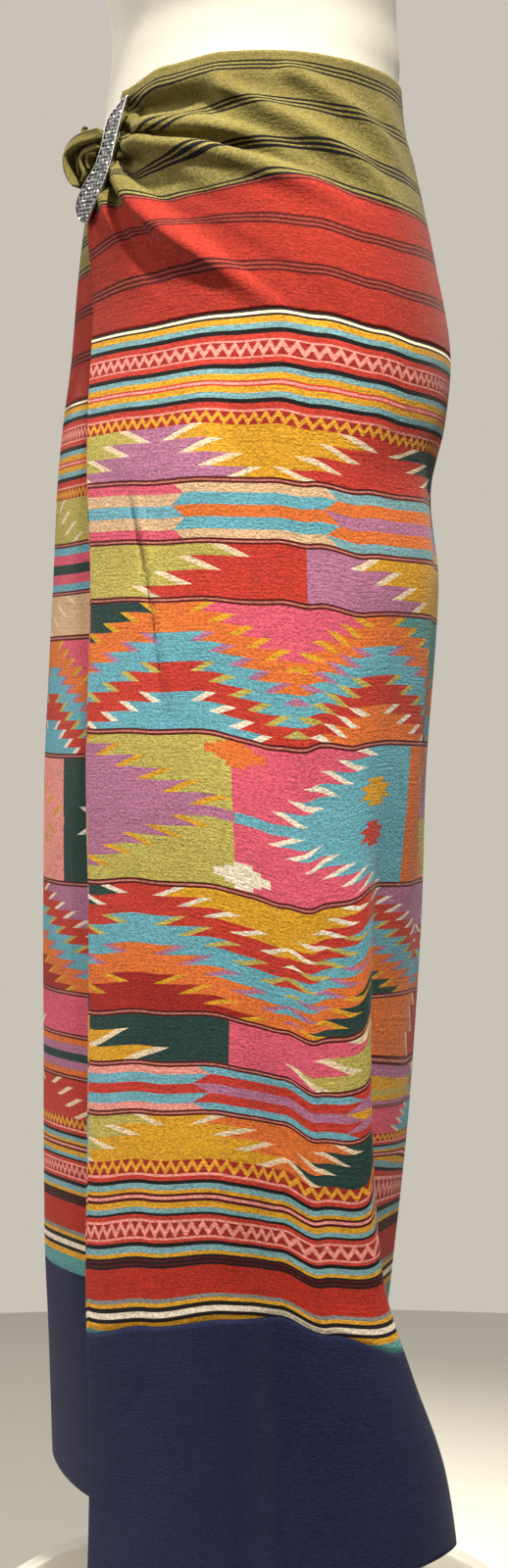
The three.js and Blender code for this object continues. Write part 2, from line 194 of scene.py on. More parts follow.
def value_at(rows, column, z):
    """A smooth value of one column at height z, or at another value of the table's first
    column, which falls from row to row."""
    heights, values = next(iter(rows.values())), rows[column]
    last = len(heights) - 1
    after = np.minimum(np.arange(last + 1) + 1, last)
    before = np.maximum(np.arange(last + 1) - 1, 0)
    slopes = (values[after] - values[before]) / (heights[after] - heights[before])
    i = np.clip(np.searchsorted(-heights, -z, side="right") - 1, 0, last - 1)
    span = heights[i + 1] - heights[i]
    t = np.clip((z - heights[i]) / span, 0, 1)
    return (
        (2 * t**3 - 3 * t**2 + 1) * values[i]
        + (t**3 - 2 * t**2 + t) * span * slopes[i]
        + (3 * t**2 - 2 * t**3) * values[i + 1]
        + (t**3 - t**2) * span * slopes[i + 1]
    )


def fold_line(column, z):
    return value_at(FOLD_LINES, column, z)


def ring_point(bearing, z, out=0.0, along=0.0):
    """A point of the ring at a bearing and height, moved out by `out` and round by `along`."""
    side = value_at(RINGS, "side", z)
    front = value_at(RINGS, "front", z)
    back = value_at(RINGS, "back", z)
    depth = (front + back) / 2
    angle = np.radians(bearing)
    normal = np.stack([np.sin(angle) / side, -np.cos(angle) / depth])
    normal = normal / np.linalg.norm(normal, axis=0)
    x = side * np.sin(angle) + normal[0] * out - normal[1] * along
    y = (back - front) / 2 - depth * np.cos(angle) + normal[1] * out + normal[0] * along
    return np.stack([x, y, z + 0 * x], axis=-1)


def bearing_at(place, z):
    """Bearing of one of the places round the tube, at height z."""
    name = PLACES["at"][place]
    edge, inner, flute = (fold_line(line, z) for line in ("edge", "inner", "flute"))
    bearings = {
        "edge": edge,
        "lap": mix(edge, inner, LAP_SHARE),
        "inner": inner,
        "settled": inner + SETTLING,
        "flank": mix(inner + SETTLING, flute, FLANK_SHARE),
        "flute": flute,
        "dip": fold_line("dip", z),
        **{fixed: bearing + 0 * z for fixed, bearing in FIXED_BEARINGS.items()},
        "under": 360 + edge,
        "tuck": 360 + inner,
    }
    return bearings[name]


def gather_height(z):
    return ease((z - GATHER_LOW) / GATHER_FADE)


def gather_rise(bearing, z):
    """How far the gathered cloth stands off the hip: a swelling from the clasp, cut by folds."""
    away = bearing - fold_line("edge", z)
    swell = GATHER_RISE * (1 - ease(away / GATHER_REACH)) * gather_height(z)
    left = 1.0
    for start, middle, end, reach, narrow, wide, deep in zip(*GATHERS.values()):
        t = np.clip(away / reach, 0, 1)
        centre = (1 - t) ** 2 * start + 2 * t * (1 - t) * middle + t * t * end
        width = mix(narrow, wide, t)
        left = left * (1 - deep * (1 - ease(t * t)) * np.exp(-(((z - centre) / width) ** 2)))
    return swell * left


def flute_rise(bearing, z):
    """The flute that hangs at the left back stands out, and the cloth behind it sinks in."""
    flute, dip = fold_line("flute", z), fold_line("dip", z)
    proud, sunk = fold_line("proud", z), fold_line("sunk", z)
    near = proud * ease(1 - (flute - bearing) / FLUTE_SPREAD)
    between = mix(proud, -sunk, ease((bearing - flute) / (dip - flute)))
    behind = -sunk * (1 - ease((bearing - dip) / DIP_SPREAD))
    return np.where(bearing <= flute, near, np.where(bearing <= dip, between, behind))


# ---------- the cloth's layout: columns round the tube, rows down it ----------

def cloth_columns(finer):
    """Columns round the tube.  Each is a stretch between two places, a point on the round
    turn at either edge of the front fold, or a point of the layer folded in."""
    columns = []
    for place in range(LAST + 1):
        steps = max(1, int(PLACES["facets"][place]) * finer)
        columns += [("stretch", place, k / steps) for k in range(steps)]
    columns += [("inner turn", LAST, k / TURN_FACETS) for k in range(1, TURN_FACETS)]
    columns += [("tucked", LAST, k / TUCKED_FACETS) for k in range(TUCKED_FACETS + 1)]
    columns += [("outer turn", 0, 1 - k / TURN_FACETS) for k in range(1, TURN_FACETS)]
    return columns


def along_places(columns, values):
    """A value given at each place, carried smoothly round the columns."""
    result = []
    for kind, place, t in columns:
        if kind == "tucked":
            result.append(mix(values[LAST], values[0], t))
        elif kind == "stretch":
            result.append(mix(values[place], values[min(place + 1, LAST)], ease(t)))
        else:
            result.append(values[place])
    return np.array(result)


def column_middle(column, z):
    """Middle of the cloth wall down one column, and the bearing there."""
    kind, place, t = column
    apart = fold_line("apart", z)
    edge, inner = fold_line("edge", z), fold_line("inner", z)
    if kind == "tucked":
        bearing = mix(inner, edge, t)
        return ring_point(bearing, z, apart), bearing + FOLDED_IN
    if kind == "inner turn":
        angle = math.pi * t
        out = apart / 2 * (1 - math.cos(angle))
        return ring_point(inner, z, out, apart / 2 * math.sin(angle)), inner + FOLDED_IN
    if kind == "outer turn":
        angle = math.pi * t
        radius = (apart + gather_rise(edge, z)) / 2
        out = apart + radius * (1 + math.cos(angle))
        return ring_point(edge, z, out, -radius * math.sin(angle)), edge
    bearing = mix(bearing_at(place, z), bearing_at(min(place + 1, LAST), z), t)
    layers = mix(PLACES["layers"][place], PLACES["layers"][min(place + 1, LAST)], ease(t))
    outer = bearing < UNDER_LAYER
    rise = np.where(outer, gather_rise(bearing, z) + flute_rise(bearing, z), 0)
    return ring_point(bearing, z, layers * apart + rise), bearing


def cloth_grid(upper, lower, rows, gaps, finer):
    """Points of the wall's middle, [row, column, xyz], with the bearing of each.  The wall runs
    from one edge to another, set in by a gap at each, in so many rows."""
    columns = cloth_columns(finer)
    high = along_places(columns, PLACES[upper]) - gaps[0]
    low = along_places(columns, PLACES[lower]) + gaps[1]
    down = np.linspace(0, 1, rows + 1)
    middles, bearings = [], []
    for column, top, bottom in zip(columns, high, low):
        points, bearing = column_middle(column, mix(top, bottom, down))
        middles.append(points)
        bearings.append(bearing + 0 * down)
    return np.stack(middles, axis=1), np.stack(bearings, axis=1)


def grid_normals(points):
    """Outward normals of a grid that closes on itself round the tube."""
    along = np.roll(points, -1, axis=1) - np.roll(points, 1, axis=1)
    down = np.gradient(points, axis=0)
    normals = np.cross(down, along)
    return normals / np.linalg.norm(normals, axis=2, keepdims=True)


def cloth_round(finer):
    """How far round the cloth each column is, on the flat, from the outer edge of the fold."""
    columns = cloth_columns(finer)
    z = np.array([MEASURED_AT])
    ring = np.array([column_middle(column, z)[0][0] for column in columns])
    ring = np.vstack([ring, ring[:1]])
    return np.concatenate([[0], np.cumsum(np.linalg.norm(np.diff(ring, axis=0), axis=1))])


# ---------- how the woven bands hang, and the cloth's creases ----------

# How much lower than even spacing the woven bands hang, for each way round the cloth (running
# back towards the fold's outer edge), at sixteen depths down it.
BAND_SAG = table(
    "round d0 d64 d86 d113 d172 d240 d271 d310 d346 d430 d524 d607 d655 d703 d740 d810",
    (1174, 0, 0, 0, 0, 0, 0, 0, 0, 0, 0, 0, 0, 0, 0, 0, 0),
    (1000, 0, 0, 0, 0, 0, 4, 5, 4, 2, 3, 2, 0, -2, -4, -8, -6),
    (880, 0, 0, 0, 0, 0, 7, 9, 7, 2, 5, 4, 0, -3, -6, -12, -9),
    (700, 0, 0, 0, 0, 0, 0, 0, 0, 0, 0, 0, 0, 0, 0, 0, 0),
    (420, 0, 4, 4, 0, 0, 0, 0, 2, 2, 2, 0, 0, 2, 0, 0, 0),
    (310, 0, 6, 4, -2, 0, 2, 0, 3, 2, 1, -1, -12, 8, -22, -18, -12),
    (225, 0, 2, 3, 2, 0, 3, 2, 4, 2, 0, -3, -16, 1, -34, -16, -10),
    (206, 0, 1, 2, 3, 0, 2, 2, 4, 3, 0, -4, -16, 1, -28, -10, -8),
    (196, 0, 0, 1, 3, 0, 2, 3, 5, 4, 2, 1, 0, 3, -2, -3, -6),
    (172, 0, -2, -2, 1, 0, 7, 7, 8, 8, 10, 17, 17, 19, 14, 12, 7),
    (147, 0, -2, 0, 0, 0, 7, 10, 11, 11, 19, 27, 26, 20, 14, 15, 8),
    (122, 0, -2, 4, -2, 0, 7, 9, 10, 11, 15, 20, 19, 14, 9, 10, 4),
    (95, 0, 0, 8, -5, 0, 4, 7, 8, 8, 8, 12, 10, 8, 5, 5, 3),
    (40, 0, 3, -3, -5, 0, 1, 2, 2, 2, 2, 3, 3, 2, 1, 1, 4),
    (0, 0, 3, -4, 0, 0, 0, -1, -1, -1, -2, 0, 0, -2, -2, -1, -1),
)
SAG_DEPTHS = np.array([float(name[1:]) for name in list(BAND_SAG)[1:]])


def band_sag(round_at, depth):
    """How much lower than even the bands hang at one column, for each depth down the cloth."""
    at = np.array([float(round_at)])
    sags = [value_at(BAND_SAG, name, at)[0] for name in list(BAND_SAG)[1:]]
    return np.interp(depth, SAG_DEPTHS, sags)


# Creases pressed or hung into the cloth: from one point to another, round and down it, how far
# the line bows sideways, its half width, and how far it stands out (+) or sinks in (-).
CREASES = table(
    "round0 down0 round1 down1 bow width rise",
    (38, 262, 68, 442, 3, 1.8, -2.8),
    (44, 270, 73, 430, 3, 3.6, 2.0),
    (52, 842, 24, 872, 2, 3.0, -1.0),
    (100, 180, 84, 420, 8, 22, 1.8),
    (150, 200, 152, 560, -6, 24, -2.2),
    (118, 430, 112, 800, 8, 26, 2.2),
    (168, 520, 176, 830, 5, 16, -2.4),
    (60, 560, 52, 960, -4, 22, -1.8),
    (255, 200, 262, 600, 8, 22, 2.4),
    (310, 240, 322, 760, -8, 24, -3.0),
    (360, 190, 372, 900, 10, 26, 3.2),
    (420, 260, 428, 960, -8, 22, -3.0),
    (470, 200, 482, 820, 6, 25, 2.6),
    (540, 300, 546, 970, 8, 26, -3.4),
    (600, 210, 604, 900, -10, 28, 3.0),
    (665, 280, 672, 960, 6, 24, -2.8),
    (720, 220, 716, 780, 8, 22, 2.2),
    (790, 300, 800, 940, -6, 24, -2.2),
    (505, 330, 518, 420, 3, 2.4, -1.6),
    (690, 520, 676, 640, 3, 2.4, -1.6),
    (236, 640, 250, 720, 3, 2.4, -1.2),
)


CREASE_FADE = 5             # a crease fades out over a fifth of its length at each end


def along_line(around, down, start, end):
    """Share of the way along a line on the flat cloth, and how far to its side, in arrays."""
    run = np.array(end, float) - start
    length = np.hypot(*run)
    run = run / length
    past, below = around - start[0], down - start[1]
    return (past * run[0] + below * run[1]) / length, past * run[1] - below * run[0]


def crease_rise(around, down):
    """How far the creases lift the cloth, for arrays of the way round and down it."""
    rise = 0.0 * around
    for *ends, bow, width, lift in zip(*CREASES.values()):
        t, aside = along_line(around, down, ends[:2], ends[2:])
        aside = aside - bow * 4 * t * (1 - t)
        fade = ease(CREASE_FADE * t) * ease(CREASE_FADE * (1 - t))
        rise = rise + lift * fade * np.exp(-((aside / width) ** 2))
    return rise


# Folds that fan out from the clasp over the gathered waist: from one point to another, how far
# the line bows down the cloth, its half width at both ends, and its rise.
FOLDS = table(
    "round0 down0 round1 down1 bow narrow wide rise",
    (14, 15, 170, 18, -3, 3.5, 7, 2.0),
    (12, 24, 120, 38, -2, 2.5, 6, -3.0),
    (12, 31, 190, 76, -5, 2.6, 7, 6.4),
    (10, 36, 230, 98, -3, 1.6, 3.6, -3.2),
    (14, 42, 216, 112, -6, 3.0, 9, 7.0),
    (16, 48, 196, 196, -3, 3.4, 11, -6.0),
    (16, 52, 164, 186, 6, 3.2, 9, 7.0),
    (16, 58, 84, 162, 8, 2.8, 6, -5.0),
    (6, 60, 58, 128, 3, 3.0, 6, 3.6),
    (92, 16, 250, 96, -2, 6, 10, 6.6),
    (82, 31, 236, 102, -2, 5, 9, -2.4),
    (146, 10, 270, 66, -2, 6, 10, 5.4),
    (232, 20, 330, 60, 2, 8, 12, 1.6),
    (420, 10, 436, 140, 2, 8, 14, 1.8),
    (560, 14, 552, 150, 2, 8, 14, 1.6),
    (700, 12, 712, 140, -2, 8, 14, 1.8),
)
FOLD_FADE = (8, 2.2)        # a fold starts within an eighth of its length and ends slowly
FAN_FROM = 5                # way round from the fold's edge to where they start, under the clasp
FAN_OVER = 12               # and over which they reach their full rise
FAN_END = 800               # way round past which there are none


def fold_rise(around, down, room):
    """How far the fan of folds lifts the gathered waist, or sinks it into the room behind it."""
    rise = 0.0 * around
    for *ends, bow, narrow, wide, lift in zip(*FOLDS.values()):
        t, aside = along_line(around, down, ends[:2], ends[2:])
        width = mix(narrow, wide, np.clip(t, 0, 1))
        aside = (-aside - bow * 4 * t * (1 - t)) / width
        fade = ease(FOLD_FADE[0] * t) * ease(FOLD_FADE[1] * (1 - t))
        rise = rise + lift * fade * np.exp(-(aside ** 2))
    rise = np.where(rise < 0, -room * np.tanh(-rise / room), rise)
    return rise * ease((around - FAN_FROM) / FAN_OVER) * (around < FAN_END)


# ---------- making meshes ----------

def mesh_piece(name, points, faces, corner_uvs=None, smooth=True):
    """A new object from points in millimetres; corner_uvs gives a 'cloth' map, a pair for each
    corner of each face, in millimetres too."""
    mesh = bpy.data.meshes.new(name)
    mesh.from_pydata((np.asarray(points) * MM).tolist(), [], [list(face) for face in faces])
    if corner_uvs is not None:
        layer = mesh.uv_layers.new(name="cloth")
        layer.data.foreach_set("uv", np.asarray(corner_uvs, float).ravel())
    mesh.polygons.foreach_set("use_smooth", [smooth] * len(mesh.polygons))
    mesh.update()
    piece = add_object(name, mesh)
    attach(piece, "root")
    return piece


def grid_quads(rows, columns):
    """Quads of a grid of points whose rows run down and columns run right round, facing out."""
    r, c = np.meshgrid(np.arange(rows - 1), np.arange(columns), indexing="ij")
    a, b = r * columns + c, r * columns + (c + 1) % columns
    return np.stack([a, a + columns, b + columns, b], axis=-1).reshape(-1, 4)


def tube_faces(rows, columns):
    """Faces of a tube through rings of points, with a flat cap on each end."""
    faces = grid_quads(rows, columns).tolist()
    faces.append(list(range(columns)))
    faces.append([(rows - 1) * columns + k for k in reversed(range(columns))])
    return faces


def tube_piece(name, rings):
    """A closed tube through rings of points, [ring, point, xyz], the rings running down."""
    rings = np.asarray(rings)
    return mesh_piece(name, rings.reshape(-1, 3), tube_faces(*rings.shape[:2]))


# ---------- materials: values wired together as expressions ----------

class Wire:
    """One value in a material; a sum on values adds the Math nodes that work it out."""

    def __init__(self, finish, socket):
        self.finish = finish
        self.socket = socket

    def math(self, operation, *values):
        sockets = dict(enumerate(values))
        return self.finish.node("Math", {"operation": operation}, sockets)

    def __add__(self, other):
        return self.math("ADD", self, other)

    def __radd__(self, other):
        return self.math("ADD", other, self)

    def __sub__(self, other):
        return self.math("SUBTRACT", self, other)

    def __rsub__(self, other):
        return self.math("SUBTRACT", other, self)

    def __mul__(self, other):
        return self.math("MULTIPLY", self, other)

    def __rmul__(self, other):
        return self.math("MULTIPLY", other, self)

    def __truediv__(self, other):
        return self.math("DIVIDE", self, other)

    def __rtruediv__(self, other):
        return self.math("DIVIDE", other, self)

    def __mod__(self, other):
        return self.math("FLOORED_MODULO", self, other)

    def __gt__(self, other):
        return self.math("GREATER_THAN", self, other)

    def __lt__(self, other):
        return self.math("LESS_THAN", self, other)

    def __abs__(self):
        return self.math("ABSOLUTE", self)

    def floor(self):
        return self.math("FLOOR", self)

    def sine(self):
        return self.math("SINE", self)

    def to_and_fro(self, reach):
        return self.math("PINGPONG", self, reach)

    def at_least(self, other):
        return self.math("MAXIMUM", self, other)

    def at_most(self, other):
        return self.math("MINIMUM", self, other)


class Finish:
    """One material: its nodes are added by expressions, then wired to the shader."""

    def __init__(self, name):
        self.material = bpy.data.materials.new(name)
        self.material.use_nodes = True
        self.tree = self.material.node_tree
        self.shader = self.tree.nodes["Principled BSDF"]

    def node(self, kind, settings=None, sockets=None, output=0):
        """Adds a node, with its settings first, then its sockets' values or links."""
        node = self.tree.nodes.new("ShaderNode" + kind)
        for name, value in (settings or {}).items():
            if name in ("stops", "even"):
                self.set_stops(node.color_ramp, value, "CONSTANT" if name == "stops" else "LINEAR")
            else:
                setattr(node, name, value)
        for name, value in (sockets or {}).items():
            self.wire(value, node.inputs[name])
        return Wire(self, node.outputs[output])

    def ramp(self, stops, value):
        """The colour that a value falls on, in steps."""
        return self.node("ValToRGB", {"stops": stops}, {0: value})

    def set_stops(self, ramp, stops, interpolation):
        ramp.interpolation = interpolation
        while len(ramp.elements) < len(stops):
            ramp.elements.new(1)
        for element, (position, colour) in zip(ramp.elements, stops):
            element.position = position
            element.color = colour

    def wire(self, value, socket):
        if isinstance(value, Wire):
            self.tree.links.new(value.socket, socket)
        else:
            socket.default_value = value

    def mix(self, share, below, above):
        """Colour `above` laid over colour `below` where `share` is 1."""
        sockets = {0: share, 6: below, 7: above}
        return self.node("Mix", {"data_type": "RGBA"}, sockets, output=2)

    def shade(self, colour, light):
        """A colour made lighter or darker by a value."""
        sockets = {0: colour if isinstance(colour, Wire) else colour[:3], "Scale": light}
        return self.node("VectorMath", {"operation": "SCALE"}, sockets)

    def noise(self, vector, scale, detail=2.0, roughness=0.5):
        sockets = {"Vector": vector, "Scale": scale, "Detail": detail, "Roughness": roughness}
        return self.node("TexNoise", None, sockets)

    def point(self, x, y):
        return self.node("CombineXYZ", None, {0: x, 1: y})

    def parts(self, vector):
        """The x, y and z of a vector."""
        split = self.node("SeparateXYZ", None, {0: vector})
        outputs = split.socket.node.outputs
        return [Wire(self, outputs[k]) for k in range(3)]

    def place(self):
        """The point in metres, in the object's own space."""
        return self.node("TexCoord", output=3)

    def on_cloth(self):
        """How far round the cloth and how far down it, in millimetres."""
        spot = self.node("UVMap", {"uv_map": "cloth"})
        return self.parts(spot)[:2]

    def bump(self, height, strength, distance):
        """A Bump node for a height in millimetres."""
        sockets = {"Strength": strength, "Distance": distance * MM, "Height": height}
        return self.node("Bump", None, sockets)

    def set(self, **values):
        """Sets or wires the shader's sockets, named with underscores for spaces."""
        for name, value in values.items():
            self.wire(value, self.shader.inputs[name.replace("_", " ")])
        return self.material


def dye(code):
    """A colour from its usual six-figure code, as the shader wants it."""
    channels = [int(code[k:k + 2], 16) / 255 for k in (0, 2, 4)]
    linear = [c / 12.92 if c < 0.04045 else ((c + 0.055) / 1.055) ** 2.4 for c in channels]
    return (*linear, 1.0)


# navy, of the foot band, and brick, of the last border, are their own dark yarns made darker still:
# painted shade for the light falling off towards the hem.
YARN = {
    name: dye(code)
    for name, code in {
        "olive": "857b47", "straw": "8c824a", "black": "1a191d", "red": "c43e34",
        "hip_red": "a43127", "brick": "b23024", "maroon": "55161a", "mauve": "98413a",
        "cream": "ecd7bb", "white": "efe4d6", "yellow": "dca32f", "amber": "e8a63a",
        "blue": "72b0c8", "grey_blue": "7dacba", "pink": "f09c97", "magenta": "dd5f7a",
        "lilac": "b4769c", "orange": "e0763a", "dark_teal": "284442", "teal": "5a9a9e",
        "leaf": "bdb160", "dark_red": "a22c27", "peach": "dcb996", "navy": "1f254a",
        "slate": "83888c", "sky": "6aaec6", "dull_pink": "c67a72",
    }.items()
}


# ---------- the weave's bands, in millimetres down the cloth ----------

REPEAT = 391.3              # the field's blocks repeat three times round the cloth
FRONT_REPEAT = 2 * REPEAT   # and the third, which hangs in front, has yarns of its own

# Plain stripes, as (thickness, yarn) from the top.
TRIPLE_DARK = [(1.6, "black"), (1.2, "straw")] * 2 + [(1.6, "black")]
TRIPLE_RED = [(1.6, "maroon"), (1.3, "mauve")] * 2 + [(1.6, "maroon")]
WAIST_STRIPES = [
    (6.4, "olive"), *TRIPLE_DARK, (18.8, "olive"), *TRIPLE_DARK, (20.8, "olive"), *TRIPLE_DARK,
    (15.2, "olive"), (1.4, "black"), (1.6, "straw"), (1.4, "black"), (1.3, "mauve"),
    (1.4, "maroon"),
]
HIP_STRIPES = [
    (19.5, "hip_red"), *TRIPLE_RED, (23.5, "hip_red"), *TRIPLE_RED, (24, "hip_red"),
]
KNOT_PAIR = [(1.3, "black"), (1.3, "straw"), (1.3, "black")]
KNOT_STRIPES = [(7, "olive"), *KNOT_PAIR, (4.5, "olive"), *KNOT_PAIR, (28.7, "olive")]
UPPER_BORDER = [
    (1.3, "black"), (1.5, "cream"), (1.3, "black"), (3.75, "yellow"), (3.6, "grey_blue"),
    (2.8, "black"), (3.4, "red"), (1.2, "pink"), (8.6, "dark_red"), (1.1, "pink"),
    (3.2, "red"), (2.9, "black"), (3.2, "grey_blue"), (3.75, "yellow"), (1.1, "red"),
    (1.6, "pink"), (1.1, "red"), (3.75, "yellow"), (3.5, "grey_blue"), (2.7, "black"),
    (3.75, "red"), (1.3, "pink"), (7.8, "dark_red"),
]
LOWER_BORDER = [
    (8.3, "dark_red"), (1.7, "pink"), (2.8, "red"), (2.3, "black"), (3.5, "grey_blue"),
    (2.5, "yellow"), (1.5, "maroon"), (2.0, "pink"), (1.8, "maroon"), (3.8, "yellow"),
    (3.0, "grey_blue"), (1.8, "black"), (2.7, "red"), (1.5, "pink"), (9.4, "dark_red"),
    (1.2, "pink"), (2.0, "red"), (2.6, "black"), (3.8, "grey_blue"), (2.5, "yellow"),
]
# The brick stripe is its own dark red made darker still: painted shade for the light falling off
# towards the hem.
LAST_BORDER = [
    (1.3, "black"), (1.4, "maroon"), (1.3, "black"), (1.3, "maroon"), (1.5, "black"),
    (18.8, "brick"), (2.5, "slate"), (2.6, "yellow"), (2.8, "black"), (3.8, "white"),
    (2.5, "black"), (4.2, "yellow"), (2.3, "teal"),
]
UPPER_LENGTH = 66           # of the upper border, whose stripes are squeezed into it
LOWER_TOP = 703             # depth where the lower border begins
ZIGZAGS = table(
    "top height line",
    (190.3, 8.2, "pink"),
    (230.5, 7.4, "amber"),
    (703.0, 8.3, "amber"),
    (742.0, 9.4, "pink"),
)
ZIGZAG = {"step": 3.85, "rows": 8, "low": 0.17, "swing": 0.66, "half": 0.25}
SEPARATORS = [271, 309, 346, 430, 524, 607, 640, 672]   # maroon, pink and maroon lines
SEPARATOR_HALF = 1.9        # half the width of the three lines
SEPARATOR_CORE = 3.4        # and how many times narrower the pink one is

# Serrated bands: top, bottom, rows, and the blocks of yarn round each.  A block gives its yarn,
# its yarn where the cloth hangs in front, and how far round it begins in the first row.  Where
# its edge is toothed, it goes on with how much further that is in each row below, less a tooth
# that grows down the row, and the yarn and width of the tooth's own edging, to the left (-) or
# right (+) of the line.  The first block lies under the others.
SERRATED = {
    "upper_teeth": (238, 271, 4, [
        ("leaf", "leaf"),
        ("lilac", "leaf", 42, -17, -20, "cream", -9),
        ("yellow", "leaf", 90, 13.5, 21, "cream", 9),
        ("red", "lilac", 190, -12, -21, "cream", -9),
        ("dark_teal", "dark_teal", 244, 20, 25, "cream", 9),
        ("orange", "orange", 340),
    ]),
    "narrow_teeth": (309, 346, 4, [
        ("leaf", "peach"),
        ("red", "peach", 106, -19, -21, "cream", -9),
        ("lilac", "red", 161.5),
        ("yellow", "yellow", 205, 17, 18, "cream", 9),
        ("magenta", "magenta", 345),
    ]),
    "half_diamonds_above": (430, 474.5, 6, [
        ("lilac", "pink"),
        ("leaf", "pink", 8, 19, 20, "yellow", 9),
        ("magenta", "dark_teal", 112),
        ("sky", "blue", 201, -11, -17, "white", -8),
        ("orange", "orange", 255),
        ("lilac", "lilac", 322, -4, -8, "yellow", -5),
    ]),
    "diamond_axis": (474.5, 481, 1, [
        ("lilac", "pink"),
        ("sky", "dark_teal", 113),
        ("orange", "orange", 255),
        ("lilac", "lilac", 298),
    ]),
    "half_diamonds_below": (481, 520, 6, [
        ("lilac", "pink"),
        ("leaf", "pink", 79, -19, -20, "yellow", -9),
        ("magenta", "dark_teal", 112),
        ("sky", "blue", 152, 12, 18, "white", 8),
        ("orange", "orange", 255),
        ("leaf", "leaf", 300, 4, 8, "yellow", 5),
    ]),
    "dark_teeth": (607, 640, 3, [
        ("yellow", "magenta"),
        ("dark_teal", "magenta", 5, 31, 30, "cream", -11),
        ("magenta", "magenta", 108),
        ("leaf", "leaf", 181, -18, -25, "cream", 9),
        ("orange", "orange", 205),
        ("red", "red", 310, -8, -14, "white", -5),
        ("yellow", "yellow", 362),
    ]),
    "lower_teeth": (672, 703, 4, [
        ("leaf", "red"),
        ("yellow", "red", 43, -19, -22, "cream", -9),
        ("orange", "red", 103, 14, 20, "cream", 9),
        ("dark_teal", "cream", 178, -9, -17, "cream", -7),
        ("magenta", "magenta", 206),
        ("sky", "sky", 306, -9, -15, "cream", -7),
    ]),
}

# Bands of five stripes: top, bottom, how far their points reach, and for each block its yarns
# from the outer stripes to the middle one, the front's where they differ, and where it begins.
UNDER_UPPER = ("blue", "magenta", "dark_teal")
UNDER_LOWER = ("orange", "lilac", "dark_teal")
STRIPED = {
    "upper_stripes": (271, 309, 9, [
        (("magenta", "peach", "blue"), UNDER_UPPER),
        (("peach", "sky", "orange"), UNDER_UPPER, 77),
        (("grey_blue", "orange", "lilac"), None, 174),
        (("yellow", "lilac", "blue"), UNDER_LOWER, 298),
    ]),
    "lower_stripes": (640, 672, 12, [
        (("pink", "blue", "red"), UNDER_LOWER),
        (("blue", "red", "lilac"), UNDER_LOWER, 84),
        (("red", "lilac", "yellow"), None, 184),
        (("lilac", "yellow", "leaf"), None, 206),
        (("peach", "blue", "orange"), None, 318),
    ]),
}

# Flowing-water bands: stepped waves with two peaks in each repeat, which give where they are
# and the length of a step on their left and right.  Each wave's yarn begins at a row, edged with
# another; `above` and `below` fill the dips and the peaks from one place round to the next.
WATER = {
    "upper_water": {
        "top": 347.8, "bottom": 430, "rows": 13, "tooth": 11, "edge": 7,
        "peaks": [(79, 17, 12.3), (209, 8.5, 15)],
        "waves": [
            (0, "orange", "yellow"), (3, "sky", "lilac"), (6, "red", "leaf"), (9, "sky", "white"),
        ],
        "above": [(0, "dark_teal"), (62, "magenta"), (211, "teal")],
        "below": [(157, "orange")],
        "front_above": "magenta",
    },
    "lower_water": {
        "top": 525.8, "bottom": 607, "rows": 13, "tooth": 17, "edge": 8,
        "peaks": [(47, 19, 17.5), (204, 10, 15)],
        "waves": [
            (0, "red", "white"), (3, "sky", "leaf"), (6, "orange", "lilac"),
            (9, "dark_red", "yellow"),
        ],
        "above": [(0, "dark_teal"), (44, "yellow"), (204, "lilac")],
        "below": [(149, "dark_teal")],
        "front_above": "lilac",
    },
}
WATER_CREST = 1.45          # half the width of a peak's first row, in steps
WATER_FLAT = 0.46           # and of its flat top

# Small stepped motifs: where, half width and half height, and yarn.
MOTIFS = table(
    "around down wide high yarn shape",
    (115, 439, 20, 8.5, "orange", "cross"),
    (117, 513, 18, 8.5, "white", "cross"),
    (217, 461, 17, 9, "yellow", "star"),
    (214, 488, 15, 8, "red", "star"),
    (292, 452, 13, 8, "leaf", "star"),
)


def width_of(bands):
    return sum(thickness for thickness, _ in bands)


def stripes(finish, down, top, bands, length=None):
    """Plain stripes from one depth down, squeezed or stretched to a length if it is given."""
    total = width_of(bands)
    stops, reached = [], 0.0
    for thickness, yarn in bands:
        stops.append((reached / total, YARN[yarn]))
        reached += thickness
    return finish.ramp(stops, (down - top) / (length or total))


def zigzag(finish, colour, around, down, top, height, yarn):
    """A zigzag line laid over a dark ground, stepped in rows.  It runs between two shares of
    the band's height, and goes from a peak to the next dip in one step round the cloth."""
    share = (down - top) / height
    rows, step = ZIGZAG["rows"], ZIGZAG["step"]
    row = (share * rows).floor() / rows + 0.5 / rows
    line = around.to_and_fro(step) * (ZIGZAG["swing"] / step) + ZIGZAG["low"]
    on_line = abs(row - line) < ZIGZAG["half"]
    inside = abs(share - 0.5) < 0.5
    return finish.mix(on_line * inside, colour, YARN[yarn])


def yarn_by_repeat(finish, front, yarn, front_yarn):
    if yarn == front_yarn:
        return YARN[yarn]
    return finish.mix(front, YARN[yarn], YARN[front_yarn])


def serrated_band(finish, around, down, front, top, bottom, rows, blocks):
    """Blocks of yarn side by side, whose edges step from row to row in long teeth."""
    place = (down - top) * (rows / (bottom - top))
    row = place.floor()
    within = place - row
    colour = None
    for yarn, front_yarn, *start in blocks:
        block = yarn_by_repeat(finish, front, yarn, front_yarn)
        if colour is None:
            colour = block
            continue
        past = around - start[0]
        if len(start) > 1:
            step, tooth, tip, edge = start[1:]
            past = past - row * step + within * tooth
        colour = finish.mix(past > 0, colour, block)
        if len(start) > 1:
            strip = abs(past - edge / 2) < abs(edge) / 2
            colour = finish.mix(strip, colour, YARN[tip])
    return colour


